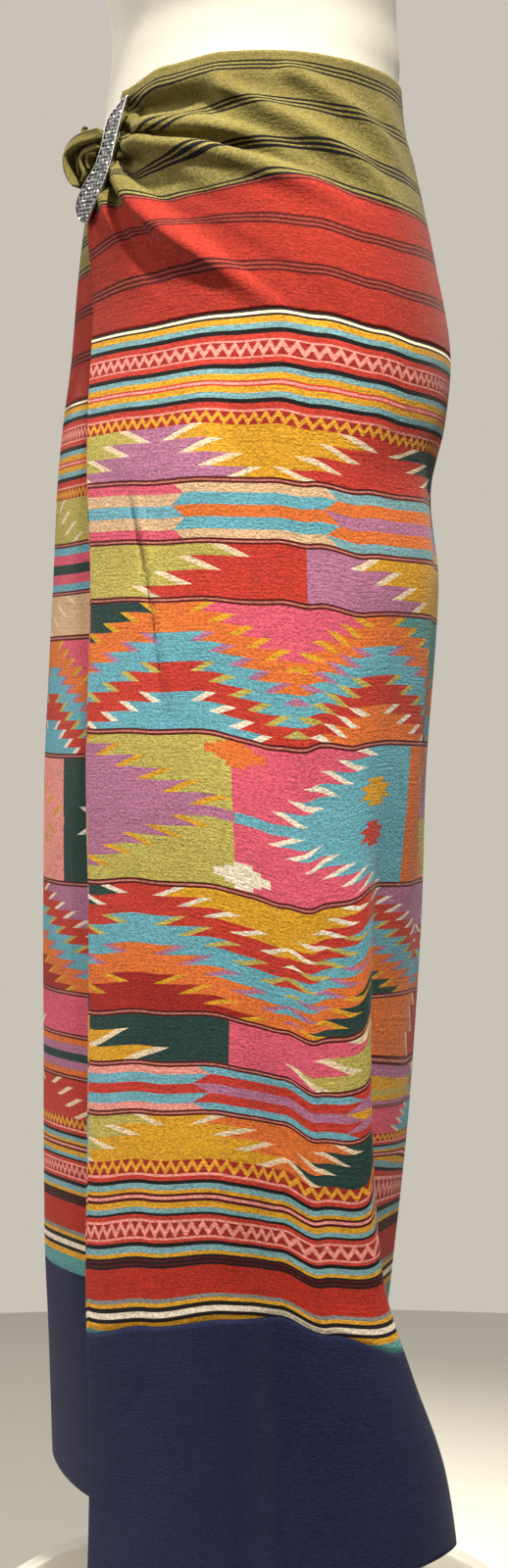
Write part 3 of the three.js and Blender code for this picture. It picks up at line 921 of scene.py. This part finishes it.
def striped_band(finish, around, down, front, top, bottom, point, blocks):
    """Five stripes, whose blocks meet in points."""
    share = (down - top) / (bottom - top)
    points = (share * 5).to_and_fro(1) * point
    colour = None

    def five_stripes(outer, inner, middle):
        yarns = (outer, inner, middle, inner, outer)
        return finish.ramp([(k / 5, YARN[yarn]) for k, yarn in enumerate(yarns)], share)

    for yarns, front_yarns, *start in blocks:
        block = five_stripes(*yarns)
        if front_yarns:
            block = finish.mix(front, block, five_stripes(*front_yarns))
        colour = finish.mix((around - points) > start[0], colour, block) if start else block
    return colour


def water_band(finish, around, down, front, top, bottom, rows, tooth, edge, peaks, waves,
               above, below, front_above):
    """Stepped waves: each row reaches further from the peaks, in teeth with an edging yarn."""
    place = (down - top) * (rows / (bottom - top))
    row = place.floor()
    spread = (place - row) * tooth

    def steps_out(wider):
        """Steps from the nearest peak, each flank with a step of its own."""
        one, other = (
            ((around - peak + wider) / right).at_least((peak - around + wider) / left)
            for peak, left, right in peaks)
        first_peak, first_left, _ = peaks[0]
        next_one = (first_peak + REPEAT - around + wider) / first_left
        return one.at_most(other).at_most(next_one).at_least(WATER_FLAT)

    reach = row + WATER_CREST
    level = reach - steps_out(spread)
    edging_level = reach - steps_out(spread - edge)
    colour = YARN[above[0][1]]
    for at, yarn in above[1:]:
        colour = finish.mix(around > at, colour, YARN[yarn])
    colour = finish.mix(front, colour, YARN[front_above])
    for first_row, yarn, edging in waves:
        begun = row > first_row - 0.5
        colour = finish.mix((edging_level > first_row) * begun, colour, YARN[edging])
        block = YARN[yarn]
        if first_row == waves[-1][0]:
            for at, other in below:
                block = finish.mix(around > at, block, YARN[other])
        colour = finish.mix(level > first_row, colour, block)
    return colour


STAR_OUTLINE = [(0, 0.6), (0.45, 1.0), (0.56, 0.42), (1.0, 0.55)]
CROSS_OUTLINE = [(0, 1.0), (0.32, 1.0), (0.33, 0.6), (0.62, 0.6), (0.63, 0.3), (1.0, 0.3)]


def motif(finish, colour, around, down, at, depth, wide, high, yarn, shape):
    """A small star or stepped cross, its half width given for each distance from its middle."""
    aside, off = abs(around - at), abs(down - depth) / high
    outline = STAR_OUTLINE if shape == "star" else CROSS_OUTLINE
    stops = [(position, (share, share, share, 1)) for position, share in outline]
    half = finish.node("ValToRGB", {"even": stops}, {0: off}) * wide
    return finish.mix((aside < half) * (off < 1), colour, YARN[yarn])


RIB = 1.5                   # from one warp rib to the next
PICK = 0.9                  # from one weft to the next
LEAST_SHADE = 0.77          # of the yarn's colour, where nothing lightens it
STITCH = {"shade": 0.46, "height": 0.3}   # how much one may be lighter, and stand higher
CROWN_HEIGHT = 0.25         # of a weft where it bulges over a rib

# Unevenness of the yarn: its length round and down the cloth, how rough it is, and how much it
# lightens the colour and lifts the surface.
UNEVENNESS = [
    ("grain", 2.4, 1.7, 0.65, 0.8, 1.0),
    ("slub", 40, 1.5, 0.6, 0.3, 0.5),
    ("patch", 50, 30, 0.5, 0.3, 0),
]


def woven(finish, around, down, colour):
    """The handwoven surface: wefts packed over the warps, each stitch its own shade, with
    slubs along the wefts and softer patches."""
    pick = (down / PICK).floor()
    rib = (around / RIB + pick * 0.5).floor()
    stitch = finish.node(
        "TexWhiteNoise", {"noise_dimensions": "2D"}, {"Vector": finish.point(rib, pick)})
    crown = (around * (math.pi / RIB) + pick * (math.pi / 2)).sine()
    light = stitch * STITCH["shade"]
    height = crown * crown * CROWN_HEIGHT + stitch * STITCH["height"]
    for _, along, across, rough, shade, lift in UNEVENNESS:
        noise = finish.noise(finish.point(around / along, down / across), 1, 2, rough)
        light = light + (noise - 0.5) * shade
        if lift:
            height = height + noise * lift
    light = light + LEAST_SHADE
    return finish.set(
        Base_Color=finish.shade(colour, light),
        Roughness=0.92,
        Specular_IOR_Level=0.2,
        Sheen_Weight=0.08,
        Sheen_Roughness=0.4,
        Normal=finish.bump(height, 1.0, 0.55),
    )


def waist_weave():
    finish = Finish("handwoven_waist_stripes")
    around, down = finish.on_cloth()
    head = stripes(finish, down, 0, WAIST_STRIPES)
    length = width_of(WAIST_STRIPES)
    hip = stripes(finish, down, length, HIP_STRIPES)
    return woven(finish, around, down, finish.mix(down > length, head, hip))


def body_weave():
    finish = Finish("handwoven_tapestry_bands")
    round_tube, down = finish.on_cloth()
    around = round_tube % REPEAT
    front = round_tube > FRONT_REPEAT
    colour = stripes(finish, down, LENGTHS["waist_seam"], UPPER_BORDER, UPPER_LENGTH)
    bands = []
    for top, bottom, rows, blocks in SERRATED.values():
        bands.append((top, serrated_band(finish, around, down, front, top, bottom, rows, blocks)))
    for top, bottom, point, blocks in STRIPED.values():
        bands.append((top, striped_band(finish, around, down, front, top, bottom, point, blocks)))
    for band in WATER.values():
        bands.append((band["top"], water_band(finish, around, down, front, **band)))
    for top, band in sorted(bands, key=lambda item: item[0]):
        colour = finish.mix(down > top, colour, band)
    plain = colour
    for motif_row in zip(*MOTIFS.values()):
        colour = motif(finish, colour, around, down, *motif_row)
    colour = finish.mix(front, colour, plain)
    nearest = abs(down - SEPARATORS[0])
    for depth in SEPARATORS[1:]:
        nearest = nearest.at_most(abs(down - depth))
    colour = finish.mix(nearest < SEPARATOR_HALF, colour, YARN["maroon"])
    colour = finish.mix(nearest < SEPARATOR_HALF / SEPARATOR_CORE, colour, YARN["dull_pink"])
    top = LOWER_TOP
    for border in (LOWER_BORDER, LAST_BORDER):
        colour = finish.mix(down > top, colour, stripes(finish, down, top, border))
        top = top + width_of(border)
    for top, height, line in zip(*ZIGZAGS.values()):
        colour = zigzag(finish, colour, around, down, top, height, line)
    return woven(finish, round_tube, down, colour)


HEM = {"turned": 12, "line": 1, "dark": 0.5}   # the turned edge, and the faint line it shows


def foot_weave():
    finish = Finish("navy_foot_band")
    around, down = finish.on_cloth()
    on_line = abs(down - (LENGTHS["hem"] - HEM["turned"])) < HEM["line"] / 2
    # The navy holds painted shade: it is darker than the yarn, for the light falling off towards
    # the hem.
    colour = finish.mix(on_line * HEM["dark"], YARN["navy"], YARN["black"])
    return woven(finish, around, down, colour)


# ---------- the cloth pieces ----------

SHOWN = {"from": 6, "over": 14, "end": 900, "fade": 60}   # the outer cloth, by the way round it
CREASED = {"from": 120, "over": 120}                      # how far down the creases come in
RIPPLE = 0.22               # unevenness left in handwoven cloth
PRESSED = 0.6               # how far the cloth can be pressed in where nothing gathers it


def ripples(around, down):
    """An uneven wave between -1 and 1, about 120 mm round and 195 mm down, that sways."""
    swayed = around / 19 + 1.3 * np.sin(down / 53)
    return np.sin(swayed) * np.sin(down / 31 + np.sin(around / 47))


def relief(around, down, room):
    """Creases and faint ripples of the outer cloth, fading out where it is folded under."""
    shown = ease((around - SHOWN["from"]) / SHOWN["over"])
    shown = shown * ease((SHOWN["end"] - around) / SHOWN["fade"])
    weight = ease((down - CREASED["from"]) / CREASED["over"])
    creased = crease_rise(around, down) * weight + RIPPLE * ripples(around, down)
    return shown * creased + fold_rise(around, down, room)


def cloth_wall(name, upper, lower, rows, gaps, finer):
    """A closed wall of cloth, with its 'cloth' map: how far round and how far down the weave."""
    middles, bearings = cloth_grid(upper, lower, rows, gaps, finer)
    room = gather_rise(bearings, middles[..., 2]) + PRESSED
    round_cloth = cloth_round(finer)
    depth = np.linspace(LENGTHS[upper], LENGTHS[lower], rows + 1)
    around, down = np.meshgrid(round_cloth[:-1], depth)
    middles = middles + grid_normals(middles) * relief(around, down, room)[..., None]
    normals = grid_normals(middles) * (CLOTH / 2)
    points = np.concatenate([middles + normals, middles - normals]).reshape(-1, 3)
    count = middles.shape[1]
    layer = (rows + 1) * count
    outside = grid_quads(rows + 1, count)
    inside = outside[:, ::-1] + layer
    c = np.arange(count)
    beside = (c + 1) % count
    foot = rows * count
    top_rim = np.stack([c, beside, beside + layer, c + layer], axis=-1)
    low_rim = np.stack([foot + c, foot + c + layer, foot + beside + layer, foot + beside], axis=-1)
    woven_down = np.stack([depth - band_sag(u, depth) for u in round_cloth], axis=1)
    places = np.stack([np.broadcast_to(round_cloth, woven_down.shape), woven_down], axis=-1)
    here, below = places[:-1, :-1], places[1:, :-1]
    next_here, next_below = places[:-1, 1:], places[1:, 1:]
    shown_uvs = np.stack([here, below, next_below, next_here], axis=2).reshape(-1, 4, 2)
    top, end = places[0], places[-1]
    top_uvs = np.stack([top[:-1], top[1:], top[1:], top[:-1]], axis=1)
    end_uvs = np.stack([end[:-1], end[:-1], end[1:], end[1:]], axis=1)
    faces = np.concatenate([outside, inside, top_rim, low_rim])
    uvs = np.concatenate([shown_uvs, shown_uvs[:, ::-1], top_uvs, end_uvs])
    return mesh_piece(name, points, faces, uvs)


waist = cloth_wall("woven_waist", "top", "waist_seam", rows=78, gaps=(0, SEAM / 2), finer=8)
body = cloth_wall("woven_body", "waist_seam", "foot_seam", rows=132, gaps=(SEAM / 2, SEAM / 2),
                  finer=5)
foot = cloth_wall("woven_foot", "foot_seam", "hem", rows=45, gaps=(SEAM / 2, 0), finer=5)
waist.data.materials.append(waist_weave())
body.data.materials.append(body_weave())
foot.data.materials.append(foot_weave())
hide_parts("waist_cloth")
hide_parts("body_cloth")
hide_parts("foot_cloth")


# ---------- the clasp ----------

# The clasp's ends, its thickness, the way it faces and where it is seated; then its parts, with
# how far each is proud of that thickness or sunk in it, and rounded off at its corners.
CLASP = {"tip": 1050, "bottom": 972, "thick": 2.4, "facing": 35, "beyond": 2, "clear": 0.6}
RIM = {"width": 1.5, "proud": 1.6, "corner": 0.6}
LEFT_RIM = {"near": 0.05, "far": 0.85, "sunk": 0.4, "corner": 0.3}
SETTING = {"sunk": 1.1, "corner": 0.5}

# The clasp's face, by shares of the way down it: its width, how far its right-hand edge is to
# the right of the fold's, and how far it is off the cloth.
CLASP_FACE = table(
    "height width beyond lift",
    (0, 4, 7.5, 1.6),
    (-0.05, 8, 8, 1.6),
    (-0.16, 14, 9, 1.8),
    (-0.4, 14, 12.5, 2.0),
    (-0.56, 16.5, 14, 2.0),
    (-0.73, 21, 12.5, 2.0),
    (-0.86, 19, 8.5, 1.8),
    (-0.95, 13, 5, 1.6),
    (-1, 8, 3, 1.4),
)

UP = np.array([0, 0, 1.0])
facing_angle = math.radians(CLASP["facing"])
clasp_facing = np.array([math.sin(facing_angle), -math.cos(facing_angle), 0])
clasp_left = np.array([-math.cos(facing_angle), -math.sin(facing_angle), 0])


def bunched(z):
    """How far the bunched cloth stands off the ring at the front fold's outer edge."""
    return 2 * fold_line("apart", z) + GATHER_RISE * gather_height(z) + CLOTH / 2 + CLASP["clear"]


def clasp_leaf(t):
    """Where the right-hand edge of the clasp's back is at a share of the way down, and its
    width there."""
    z = np.array([mix(CLASP["tip"], CLASP["bottom"], t)])
    width, beyond, lift = (
        value_at(CLASP_FACE, name, np.array([-t])) for name in ("width", "beyond", "lift"))
    seat = ring_point(fold_line("edge", z) + CLASP["beyond"], z, bunched(z) + lift)[0]
    return seat - clasp_left * beyond[0], width[0]


CLASP_ROWS = 70
SECTION_STEPS = 6


def clasp_bar(name, across, proud, corner):
    """A bar down the clasp: across(width) gives its two sides, and its face is domed."""
    steps = [k / SECTION_STEPS for k in range(SECTION_STEPS + 1)]
    domed = [(side, proud - corner * (2 * side - 1) ** 4) for side in steps]
    rings = []
    for t in np.linspace(0, 1, CLASP_ROWS + 1):
        seat, width = clasp_leaf(t)
        start, end = across(width)
        rings.append([
            seat + clasp_left * mix(start, end, side) + clasp_facing * height
            for side, height in ((0, 0), *domed, (1, 0))
        ])
    return tube_piece(name, rings)


plate_edge = RIM["width"] + SEAM
clasp_setting = clasp_bar(
    "clasp_setting", lambda width: (plate_edge, width),
    CLASP["thick"] - SETTING["sunk"], SETTING["corner"])
clasp_rim = clasp_bar(
    "clasp_polished_rim", lambda width: (0, RIM["width"]),
    CLASP["thick"] + RIM["proud"], RIM["corner"])
left_rim = clasp_bar(
    "clasp_left_rim", lambda width: (width + LEFT_RIM["near"], width + LEFT_RIM["far"]),
    CLASP["thick"] - LEFT_RIM["sunk"], LEFT_RIM["corner"])

# Small cut stones: half their width and their height, the width of the flat top as a share, and
# how they are spaced, turned and tilted, each a little differently.
STONE = {"half": 1.25, "girdle": 0.4, "tall": 1.05, "table": 0.5, "sides": 8, "sunk": 1.2,
         "pitch": 2.1, "row": 0.9, "margin": 0.3, "ends": 4, "first": 0.8, "stagger": 0.22,
         "turn": (0.35, 7.1, 3.3), "tilt": (0.25, 5.3, 1.9)}


def uneven(kind, row, k):
    """A stone's own turn or tilt, of no regular kind, by its row and its place in it."""
    most, by_row, by_place = STONE[kind]
    return most * math.sin(by_row * row + by_place * k)


def stone_points(middle, turn, tilt):
    """Three rings of points, from a stone's base up to its flat top."""
    points = []
    for radius, height in ((STONE["half"], 0), (STONE["half"], STONE["girdle"]),
                           (STONE["half"] * STONE["table"], STONE["tall"])):
        for n in range(STONE["sides"]):
            angle = 2 * math.pi * n / STONE["sides"] + turn
            aside, rise = radius * math.cos(angle), radius * math.sin(angle)
            lift = height + tilt * aside * (height > STONE["girdle"])
            points.append(middle + clasp_left * aside + UP * rise + clasp_facing * lift)
    return points


def stones_piece():
    """Stones in rows down the clasp's face, joined as one mesh."""
    points, faces = [], []
    pitch, sides = STONE["half"] * STONE["pitch"], STONE["sides"]
    rows = int((CLASP["tip"] - CLASP["bottom"] - STONE["ends"]) / (pitch * STONE["row"]))
    for row in range(rows):
        seat, width = clasp_leaf((row + STONE["first"]) / rows)
        width = width - plate_edge - STONE["margin"]
        stones = max(1, round(width / pitch))
        for k in range(stones):
            share = (k + 0.5 + STONE["stagger"] * (-1) ** row * (stones > 1)) / stones
            middle = seat + clasp_left * (plate_edge + width * share)
            middle = middle + clasp_facing * (CLASP["thick"] - STONE["sunk"])
            first = len(points)
            points += stone_points(middle, uneven("turn", row, k), uneven("tilt", row, k))
            faces += (grid_quads(3, sides) + first).tolist()
            faces.append([first + 2 * sides + n for n in reversed(range(sides))])
    return mesh_piece("clasp_stones", points, faces, smooth=False)


clasp_stones = stones_piece()


def polished_silver():
    finish = Finish("polished_silver")
    fine = finish.noise(finish.place(), 900, 3)
    return finish.set(
        Base_Color=(0.72, 0.73, 0.76, 1), Metallic=1.0, Roughness=fine * 0.18 + 0.12,
        Normal=finish.bump(fine, 0.25, 0.1))


def setting_silver():
    finish = Finish("setting_silver")
    fine = finish.noise(finish.place(), 700, 3)
    return finish.set(
        Base_Color=finish.ramp([(0, dye("4b4c52")), (0.5, dye("85868c"))], fine),
        Metallic=0.9, Roughness=fine * 0.3 + 0.25, Normal=finish.bump(fine, 0.6, 0.3))


def cut_stones():
    finish = Finish("clear_cut_stones")
    # The stones' sparkle is painted: the greys in their colour stand for reflections in the facets,
    # and the near-white flecks for glints.
    tones = ((0, "84868d"), (0.42, "b4b6c0"), (0.55, "f0f1f6"), (0.68, "94969e"))
    stops = [(start, dye(code)) for start, code in tones]
    return finish.set(
        Base_Color=finish.ramp(stops, finish.noise(finish.place(), 420, 1)),
        Metallic=0.55, Roughness=0.12)


silver = polished_silver()
for rim in (clasp_rim, left_rim):
    rim.data.materials.append(silver)
clasp_setting.data.materials.append(setting_silver())
clasp_stones.data.materials.append(cut_stones())
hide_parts("clasp_rim")
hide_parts("clasp_plate")


# ---------- the knot of cloth pulled through the clasp ----------

KNOT = {"middle": 1020, "beyond": 1.5, "left": 17}   # its height, bearing and way to the left


def knot_origin():
    """Where the knot comes out from behind the clasp."""
    z = np.array([KNOT["middle"]])
    bearing = fold_line("edge", z) + KNOT["beyond"]
    return ring_point(bearing, z, bunched(z))[0] + clasp_left * KNOT["left"]


# Each strand of the knot: how far it is behind the clasp, half its depth, its pleats, and points
# down it in the clasp's plane, out to its left, up, and half the strand's thickness there.
STRANDS = {
    "knot_top_strand": (5, 6.5, 3, [
        (-7, 9.9, 3.8), (1.4, 9.4, 4), (10, 8.3, 4), (16.9, 5.4, 3.8), (21.2, 1, 3),
        (22, -4.5, 2.7), (20.3, -11.2, 3.0), (16.9, -17.1, 2.4), (12.8, -22, 1.1),
    ]),
    "knot_middle_strand": (6, 4.5, 3, [
        (-6, 3, 2.4), (1.4, 1.9, 2.6), (7.2, 0.3, 2.5), (10.4, -3.6, 2.0), (9.6, -8.6, 1.7),
        (7.4, -13.9, 1.6), (9, -19.6, 1.1),
    ]),
    "knot_short_strand": (6, 3, 2, [
        (-4, -2, 1.6), (2.6, -1.8, 1.7), (4.6, -5.9, 1.4), (3.1, -11.2, 1.0),
    ]),
    "knot_outer_drip": (7, 3, 2, [
        (15.2, 1, 1.6), (14.4, -4, 1.7), (13.8, -9, 1.5), (12.8, -14.4, 0.9),
    ]),
    "knot_gathered_back": (14, 2.5, 5, [
        (9.5, 9, 7), (10.5, 1, 9), (10.5, -8, 8), (10.5, -15, 5), (11.5, -20.5, 2),
    ]),
    "knot_corner_tuck": (6, 2, 2, [
        (8.4, 11, 2.8), (9.2, 14, 2.2), (9.4, 16, 1.4), (8, 17.6, 0.5),
    ]),
}

# A strand's steps from point to point down it, the points of its section, the way round it for
# its stripes, the power that squares it off, and its pleats' depth, a share, and twist, in
# radians a millimetre.
STRAND = {"steps": 7, "section": 40, "round": 48, "square": 0.75, "pleat": 0.16, "twist": 0.05}


def smooth_path(points, steps):
    """A smooth curve through points, as many values wide as they are."""
    points = np.asarray(points, float)
    padded = np.vstack([2 * points[0] - points[1], points, 2 * points[-1] - points[-2]])
    curve = []
    for i in range(len(points) - 1):
        a, b, c, d = padded[i:i + 4]
        for t in np.arange(steps) / steps:
            curve.append(0.5 * (2 * b + (c - a) * t + (2 * a - 5 * b + 4 * c - d) * t * t
                                + (3 * b - 3 * c + d - a) * t ** 3))
    curve.append(points[-1])
    return np.array(curve)


def cloth_strand(name, behind, half_depth, pleats, points):
    """A strand of bunched cloth, so far behind the clasp, with a number of pleats along it and
    its 'cloth' map."""
    origin = knot_origin()
    curve = smooth_path(points, STRAND["steps"])
    moves = np.diff(curve[:, :2], axis=0)
    reached = np.concatenate([[0], np.cumsum(np.linalg.norm(moves, axis=1))])
    runs = np.gradient(curve[:, :2], axis=0)
    runs = runs / np.linalg.norm(runs, axis=1, keepdims=True)
    section, rings = STRAND["section"], []
    for (out, high, half), run, far in zip(curve, runs, reached):
        for k in range(section):
            angle = 2 * math.pi * k / section
            wide, tall = (math.copysign(abs(part) ** STRAND["square"], part)
                          for part in (math.cos(angle), math.sin(angle)))
            pleat = 1 + STRAND["pleat"] * math.cos(pleats * angle + STRAND["twist"] * far)
            aside = tall * half * pleat
            rings.append(origin + clasp_left * (out - run[1] * aside) + UP * (high + run[0] * aside)
                         - clasp_facing * (behind + wide * half_depth * pleat))
    count = len(curve)
    across = np.arange(section + 1) * STRAND["round"] / section
    uvs = []
    for here, there in zip(reached[:-1], reached[1:]):
        for left, right in zip(across[:-1], across[1:]):
            uvs += [(here, left), (there, left), (there, right), (here, right)]
    uvs += [(0, at) for at in across[:-1]]
    uvs += [(reached[-1], at) for at in across[-2::-1]]
    return mesh_piece(name, rings, tube_faces(count, section), uvs)


def knot_weave():
    finish = Finish("handwoven_knot_stripes")
    around, down = finish.on_cloth()
    return woven(finish, around, down, stripes(finish, down, 0, KNOT_STRIPES))


knot = [cloth_strand(name, *sizes) for name, sizes in STRANDS.items()]
knot_material = knot_weave()
for piece in knot:
    piece.data.materials.append(knot_material)
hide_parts("knot_outer_loop")
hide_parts("knot_inner_loop")


# ---------- the dress form and its stand ----------

SEAT = 0.85                 # from the cloth to the form it hangs on

# The form above and below the skirt: half its width, and its reach to the front and back.
FORM_TOP = table(
    "z side front back",
    (1540, 52, 46, 58),
    (1500, 56, 50, 62),
    (1478, 68, 56, 70),
    (1460, 104, 68, 82),
    (1438, 146, 82, 94),
    (1410, 168, 94, 102),
    (1370, 172, 108, 106),
    (1320, 160, 126, 106),
    (1270, 154, 133, 103),
    (1220, 146, 120, 99),
    (1160, 131, 104, 95),
    (1115, 123, 96, 95),
)
FORM_FOOT = table(
    "z side front back",
    (850, 168, 119, 121),
    (824, 160, 112, 114),
    (812, 148, 102, 104),
)
FORM_SEAMS = [0, 42, 90, 138, 180, 222, 270, 318]   # bearings of its sewn panels
SEAM_GROOVE = {"deep": 0.5, "half": 1.4}            # in millimetres, and degrees round
FORM_FACETS = 144
FORM_ROWS = {"above": 110, "apart": 5.0, "below": 18, "sizes_apart": 15.0}   # rings down it
WAIST, SEATED = 1115, 880   # where the form meets the skirt's top, and leaves it lower down
CROWN = table(              # rings that round off its top: share of the top's width, and drop
    "share drop",
    (0.35, 0),
    (0.82, 0.1),
    (0.97, 1.2),
)


def form_sizes():
    """The form's rings: its own above and below, and the sarong's, set in, between."""
    inset = CLOTH / 2 + SEAT
    heights = np.arange(RINGS["z"][0], SEATED, -FORM_ROWS["sizes_apart"])
    sizes = {}
    for column in ("z", "side", "front", "back"):
        between = heights if column == "z" else value_at(RINGS, column, heights) - inset
        sizes[column] = np.concatenate([FORM_TOP[column], between, FORM_FOOT[column]])
    return sizes


def form_piece():
    sizes = form_sizes()
    top, foot = sizes["z"][0], sizes["z"][-1]
    heights = np.concatenate([
        np.linspace(top, WAIST, FORM_ROWS["above"]),
        np.arange(WAIST - 3, SEATED, -FORM_ROWS["apart"]),
        np.linspace(SEATED - 2, foot, FORM_ROWS["below"])])
    bearings = np.arange(FORM_FACETS) * 360 / FORM_FACETS
    angle = np.radians(bearings)
    groove = np.zeros(FORM_FACETS)
    for seam in FORM_SEAMS:
        aside = (bearings - seam + 180) % 360 - 180
        groove = groove + SEAM_GROOVE["deep"] * np.exp(-((aside / SEAM_GROOVE["half"]) ** 2))
    rings = []
    for z in heights:
        at = np.array([z])
        side, front, back = (value_at(sizes, column, at)[0] for column in ("side", "front", "back"))
        depth = (front + back) / 2
        share = 1 - groove / (side + depth) * 2
        x = side * np.sin(angle) * share
        y = (back - front) / 2 - depth * np.cos(angle) * share
        rings.append(np.stack([x, y, z + 0 * x], axis=-1))
    crown = rings[0] * [1, 1, 0]
    middle = crown.mean(axis=0)
    domes = [middle + (crown - middle) * share + [0, 0, top - drop]
             for share, drop in zip(*CROWN.values())]
    return tube_piece("jersey_dress_form", [*domes, *rings[1:]])


JERSEY = {"course": 5200, "wale": 2600, "uneven": 0.12, "least": 0.86}   # radians a metre


def jersey():
    finish = Finish("pale_cotton_jersey")
    spot = finish.place()
    x, y, z = finish.parts(spot)
    stitch = (z * JERSEY["course"]).sine() * 0.5 + ((x + y) * JERSEY["wale"]).sine() * 0.5
    grain = finish.noise(spot, 900, 3, 0.6)
    soft = finish.noise(spot, 14)
    light = grain * JERSEY["uneven"] + soft * JERSEY["uneven"] + JERSEY["least"]
    colour = finish.shade(dye("f2f0ea"), light)
    return finish.set(Base_Color=colour, Roughness=0.95, Specular_IOR_Level=0.2,
                      Normal=finish.bump(stitch * 0.25 + grain, 0.35, 0.12))


def stand_paint():
    finish = Finish("white_satin_paint")
    peel = finish.noise(finish.place(), 260)
    scuff = finish.noise(finish.place(), 45, 3)
    return finish.set(
        Base_Color=finish.shade(dye("e4e2dc"), scuff * 0.1 + 0.93),
        Roughness=scuff * 0.15 + 0.33, Normal=finish.bump(peel, 0.3, 0.2))


dress_form = form_piece()
dress_form.data.materials.append(jersey())
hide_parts("dress_form")
paint = stand_paint()

LEG = {"count": 4, "turn": -15, "inner": 30, "reach": 200, "rise": 92, "thick": 17, "width": 27,
       "root_height": 30, "root": 24.3, "bevel": 2.2, "steps": 32}
POLE_BEVEL = 1.5


def soften_edges(piece, width, angle=30):
    """Rounds a piece's edges that turn by more than an angle, in three steps."""
    bevel = piece.modifiers.new("soft_edges", "BEVEL")
    bevel.width = width * MM
    bevel.segments = 3
    bevel.limit_method = "ANGLE"
    bevel.angle_limit = math.radians(angle)


def leg_piece(number, bearing):
    """An arched foot of flat bar: it leaves the hub level and curves down to the floor."""
    outer, inner = [(LEG["root"], LEG["rise"])], [(LEG["root"], LEG["rise"] - LEG["root_height"])]
    span, steps = LEG["reach"] - LEG["inner"], LEG["steps"]
    for k in range(steps + 1):
        across, up = math.sin(math.pi / 2 * k / steps), math.cos(math.pi / 2 * k / steps)
        outer.append((LEG["inner"] + span * across, LEG["rise"] * up))
        inner.append((LEG["inner"] + (span - LEG["thick"]) * across,
                      (LEG["rise"] - LEG["thick"]) * up))
    turn = math.radians(bearing - 90)
    half = LEG["width"] / 2
    rings = []
    for above, below in zip(outer, inner):
        corners = ((*above, -half), (*below, -half), (*below, half), (*above, half))
        rings.append([(out * math.cos(turn) - side * math.sin(turn),
                       out * math.sin(turn) + side * math.cos(turn), up)
                      for out, up, side in corners])
    piece = tube_piece(f"arched_foot_{number}", rings)
    soften_edges(piece, LEG["bevel"], 50)
    piece.modifiers.new("clean_shading", "WEIGHTED_NORMAL")
    piece.data.materials.append(paint)
    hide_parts(f"stand_leg_{number}")
    return piece


for number in range(1, LEG["count"] + 1):
    leg_piece(number, LEG["turn"] + 360 * (number - 1) / LEG["count"])

for name in ("form_collar", "pole", "stand_hub"):
    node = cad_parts[name]
    soften_edges(node, POLE_BEVEL)
    node.data.materials.clear()
    node.data.materials.append(paint)


# ---------- the floor, the lights and the view ----------

FLOOR = {"radius": 1.32, "sides": 128}


def floor_piece():
    """A round pale floor, of matt paper."""
    turns = np.arange(FLOOR["sides"]) * (2 * math.pi / FLOOR["sides"])
    rim = np.stack([np.cos(turns), np.sin(turns), 0 * turns], axis=1) * FLOOR["radius"]
    mesh = bpy.data.meshes.new("paper_floor")
    mesh.from_pydata(rim.tolist(), [], [list(range(FLOOR["sides"]))])
    floor = add_object("paper_floor", mesh)
    finish = Finish("studio_paper")
    grain = finish.noise(finish.place(), 300)
    mesh.materials.append(finish.set(
        Base_Color=finish.shade(dye("efece6"), grain * 0.02 + 0.99), Roughness=0.95))


floor_piece()

# Soft boxes that all face one point: degrees, metres, watts, and how warm their light is.
LIGHTS = table(
    "name azimuth elevation distance size power spread warmth",
    ("key", 86, 68, 2.8, 0.15, 3.35, 28, 1.0),
    ("fill", -10, 42, 3.0, 1.2, 9.0, 70, 0.8),
    ("back", 225, 40, 3.0, 1.6, 13, 180, 0.4),
)
AIM = Vector((0, 0, 0.3))
WARM_CUTS = (0, 0.08, 0.24)   # how much less red, green and blue a light of full warmth gives


def add_lights():
    for name, azimuth, elevation, distance, size, power, spread, warmth in zip(*LIGHTS.values()):
        data = bpy.data.lights.new(str(name), "AREA")
        data.size = float(size)
        data.energy = float(power)
        data.spread = math.radians(float(spread))
        data.color = [1.0 - cut * float(warmth) for cut in WARM_CUTS]
        light = add_object(str(name), data)
        out = outward(azimuth, elevation)
        light.location = AIM + out * float(distance)
        light.rotation_euler = (-out).to_track_quat("-Z", "Y").to_euler()


# The light of the room and of its pale wall, and the cosines, off the way the camera faces, at
# which the wall starts and is fully pale.
ROOM = {"dim": 0.1, "pale": 0.58, "starts": 0.45, "full": 0.93, "colour": (1.0, 0.93, 0.82, 1)}


def add_room():
    """Dim all round, with a broad pale wall on the far side of the form."""
    world = bpy.data.worlds.new("pale_studio")
    world.use_nodes = True
    nodes, links = world.node_tree.nodes, world.node_tree.links
    direction = nodes.new("ShaderNodeTexCoord")
    facing = nodes.new("ShaderNodeVectorMath")
    facing.operation = "DOT_PRODUCT"
    facing.inputs[1].default_value = -outward(CAMERA["azimuth"])
    wall = nodes.new("ShaderNodeMapRange")
    wall.interpolation_type = "SMOOTHSTEP"
    for name, value in zip(("From Min", "From Max", "To Min", "To Max"),
                           ("starts", "full", "dim", "pale")):
        wall.inputs[name].default_value = ROOM[value]
    links.new(direction.outputs["Generated"], facing.inputs[0])
    links.new(facing.outputs["Value"], wall.inputs["Value"])
    links.new(wall.outputs["Result"], nodes["Background"].inputs["Strength"])
    nodes["Background"].inputs["Color"].default_value = ROOM["colour"]
    bpy.context.scene.world = world


add_lights()
add_room()
bpy.context.scene.view_settings.view_transform = "Standard"
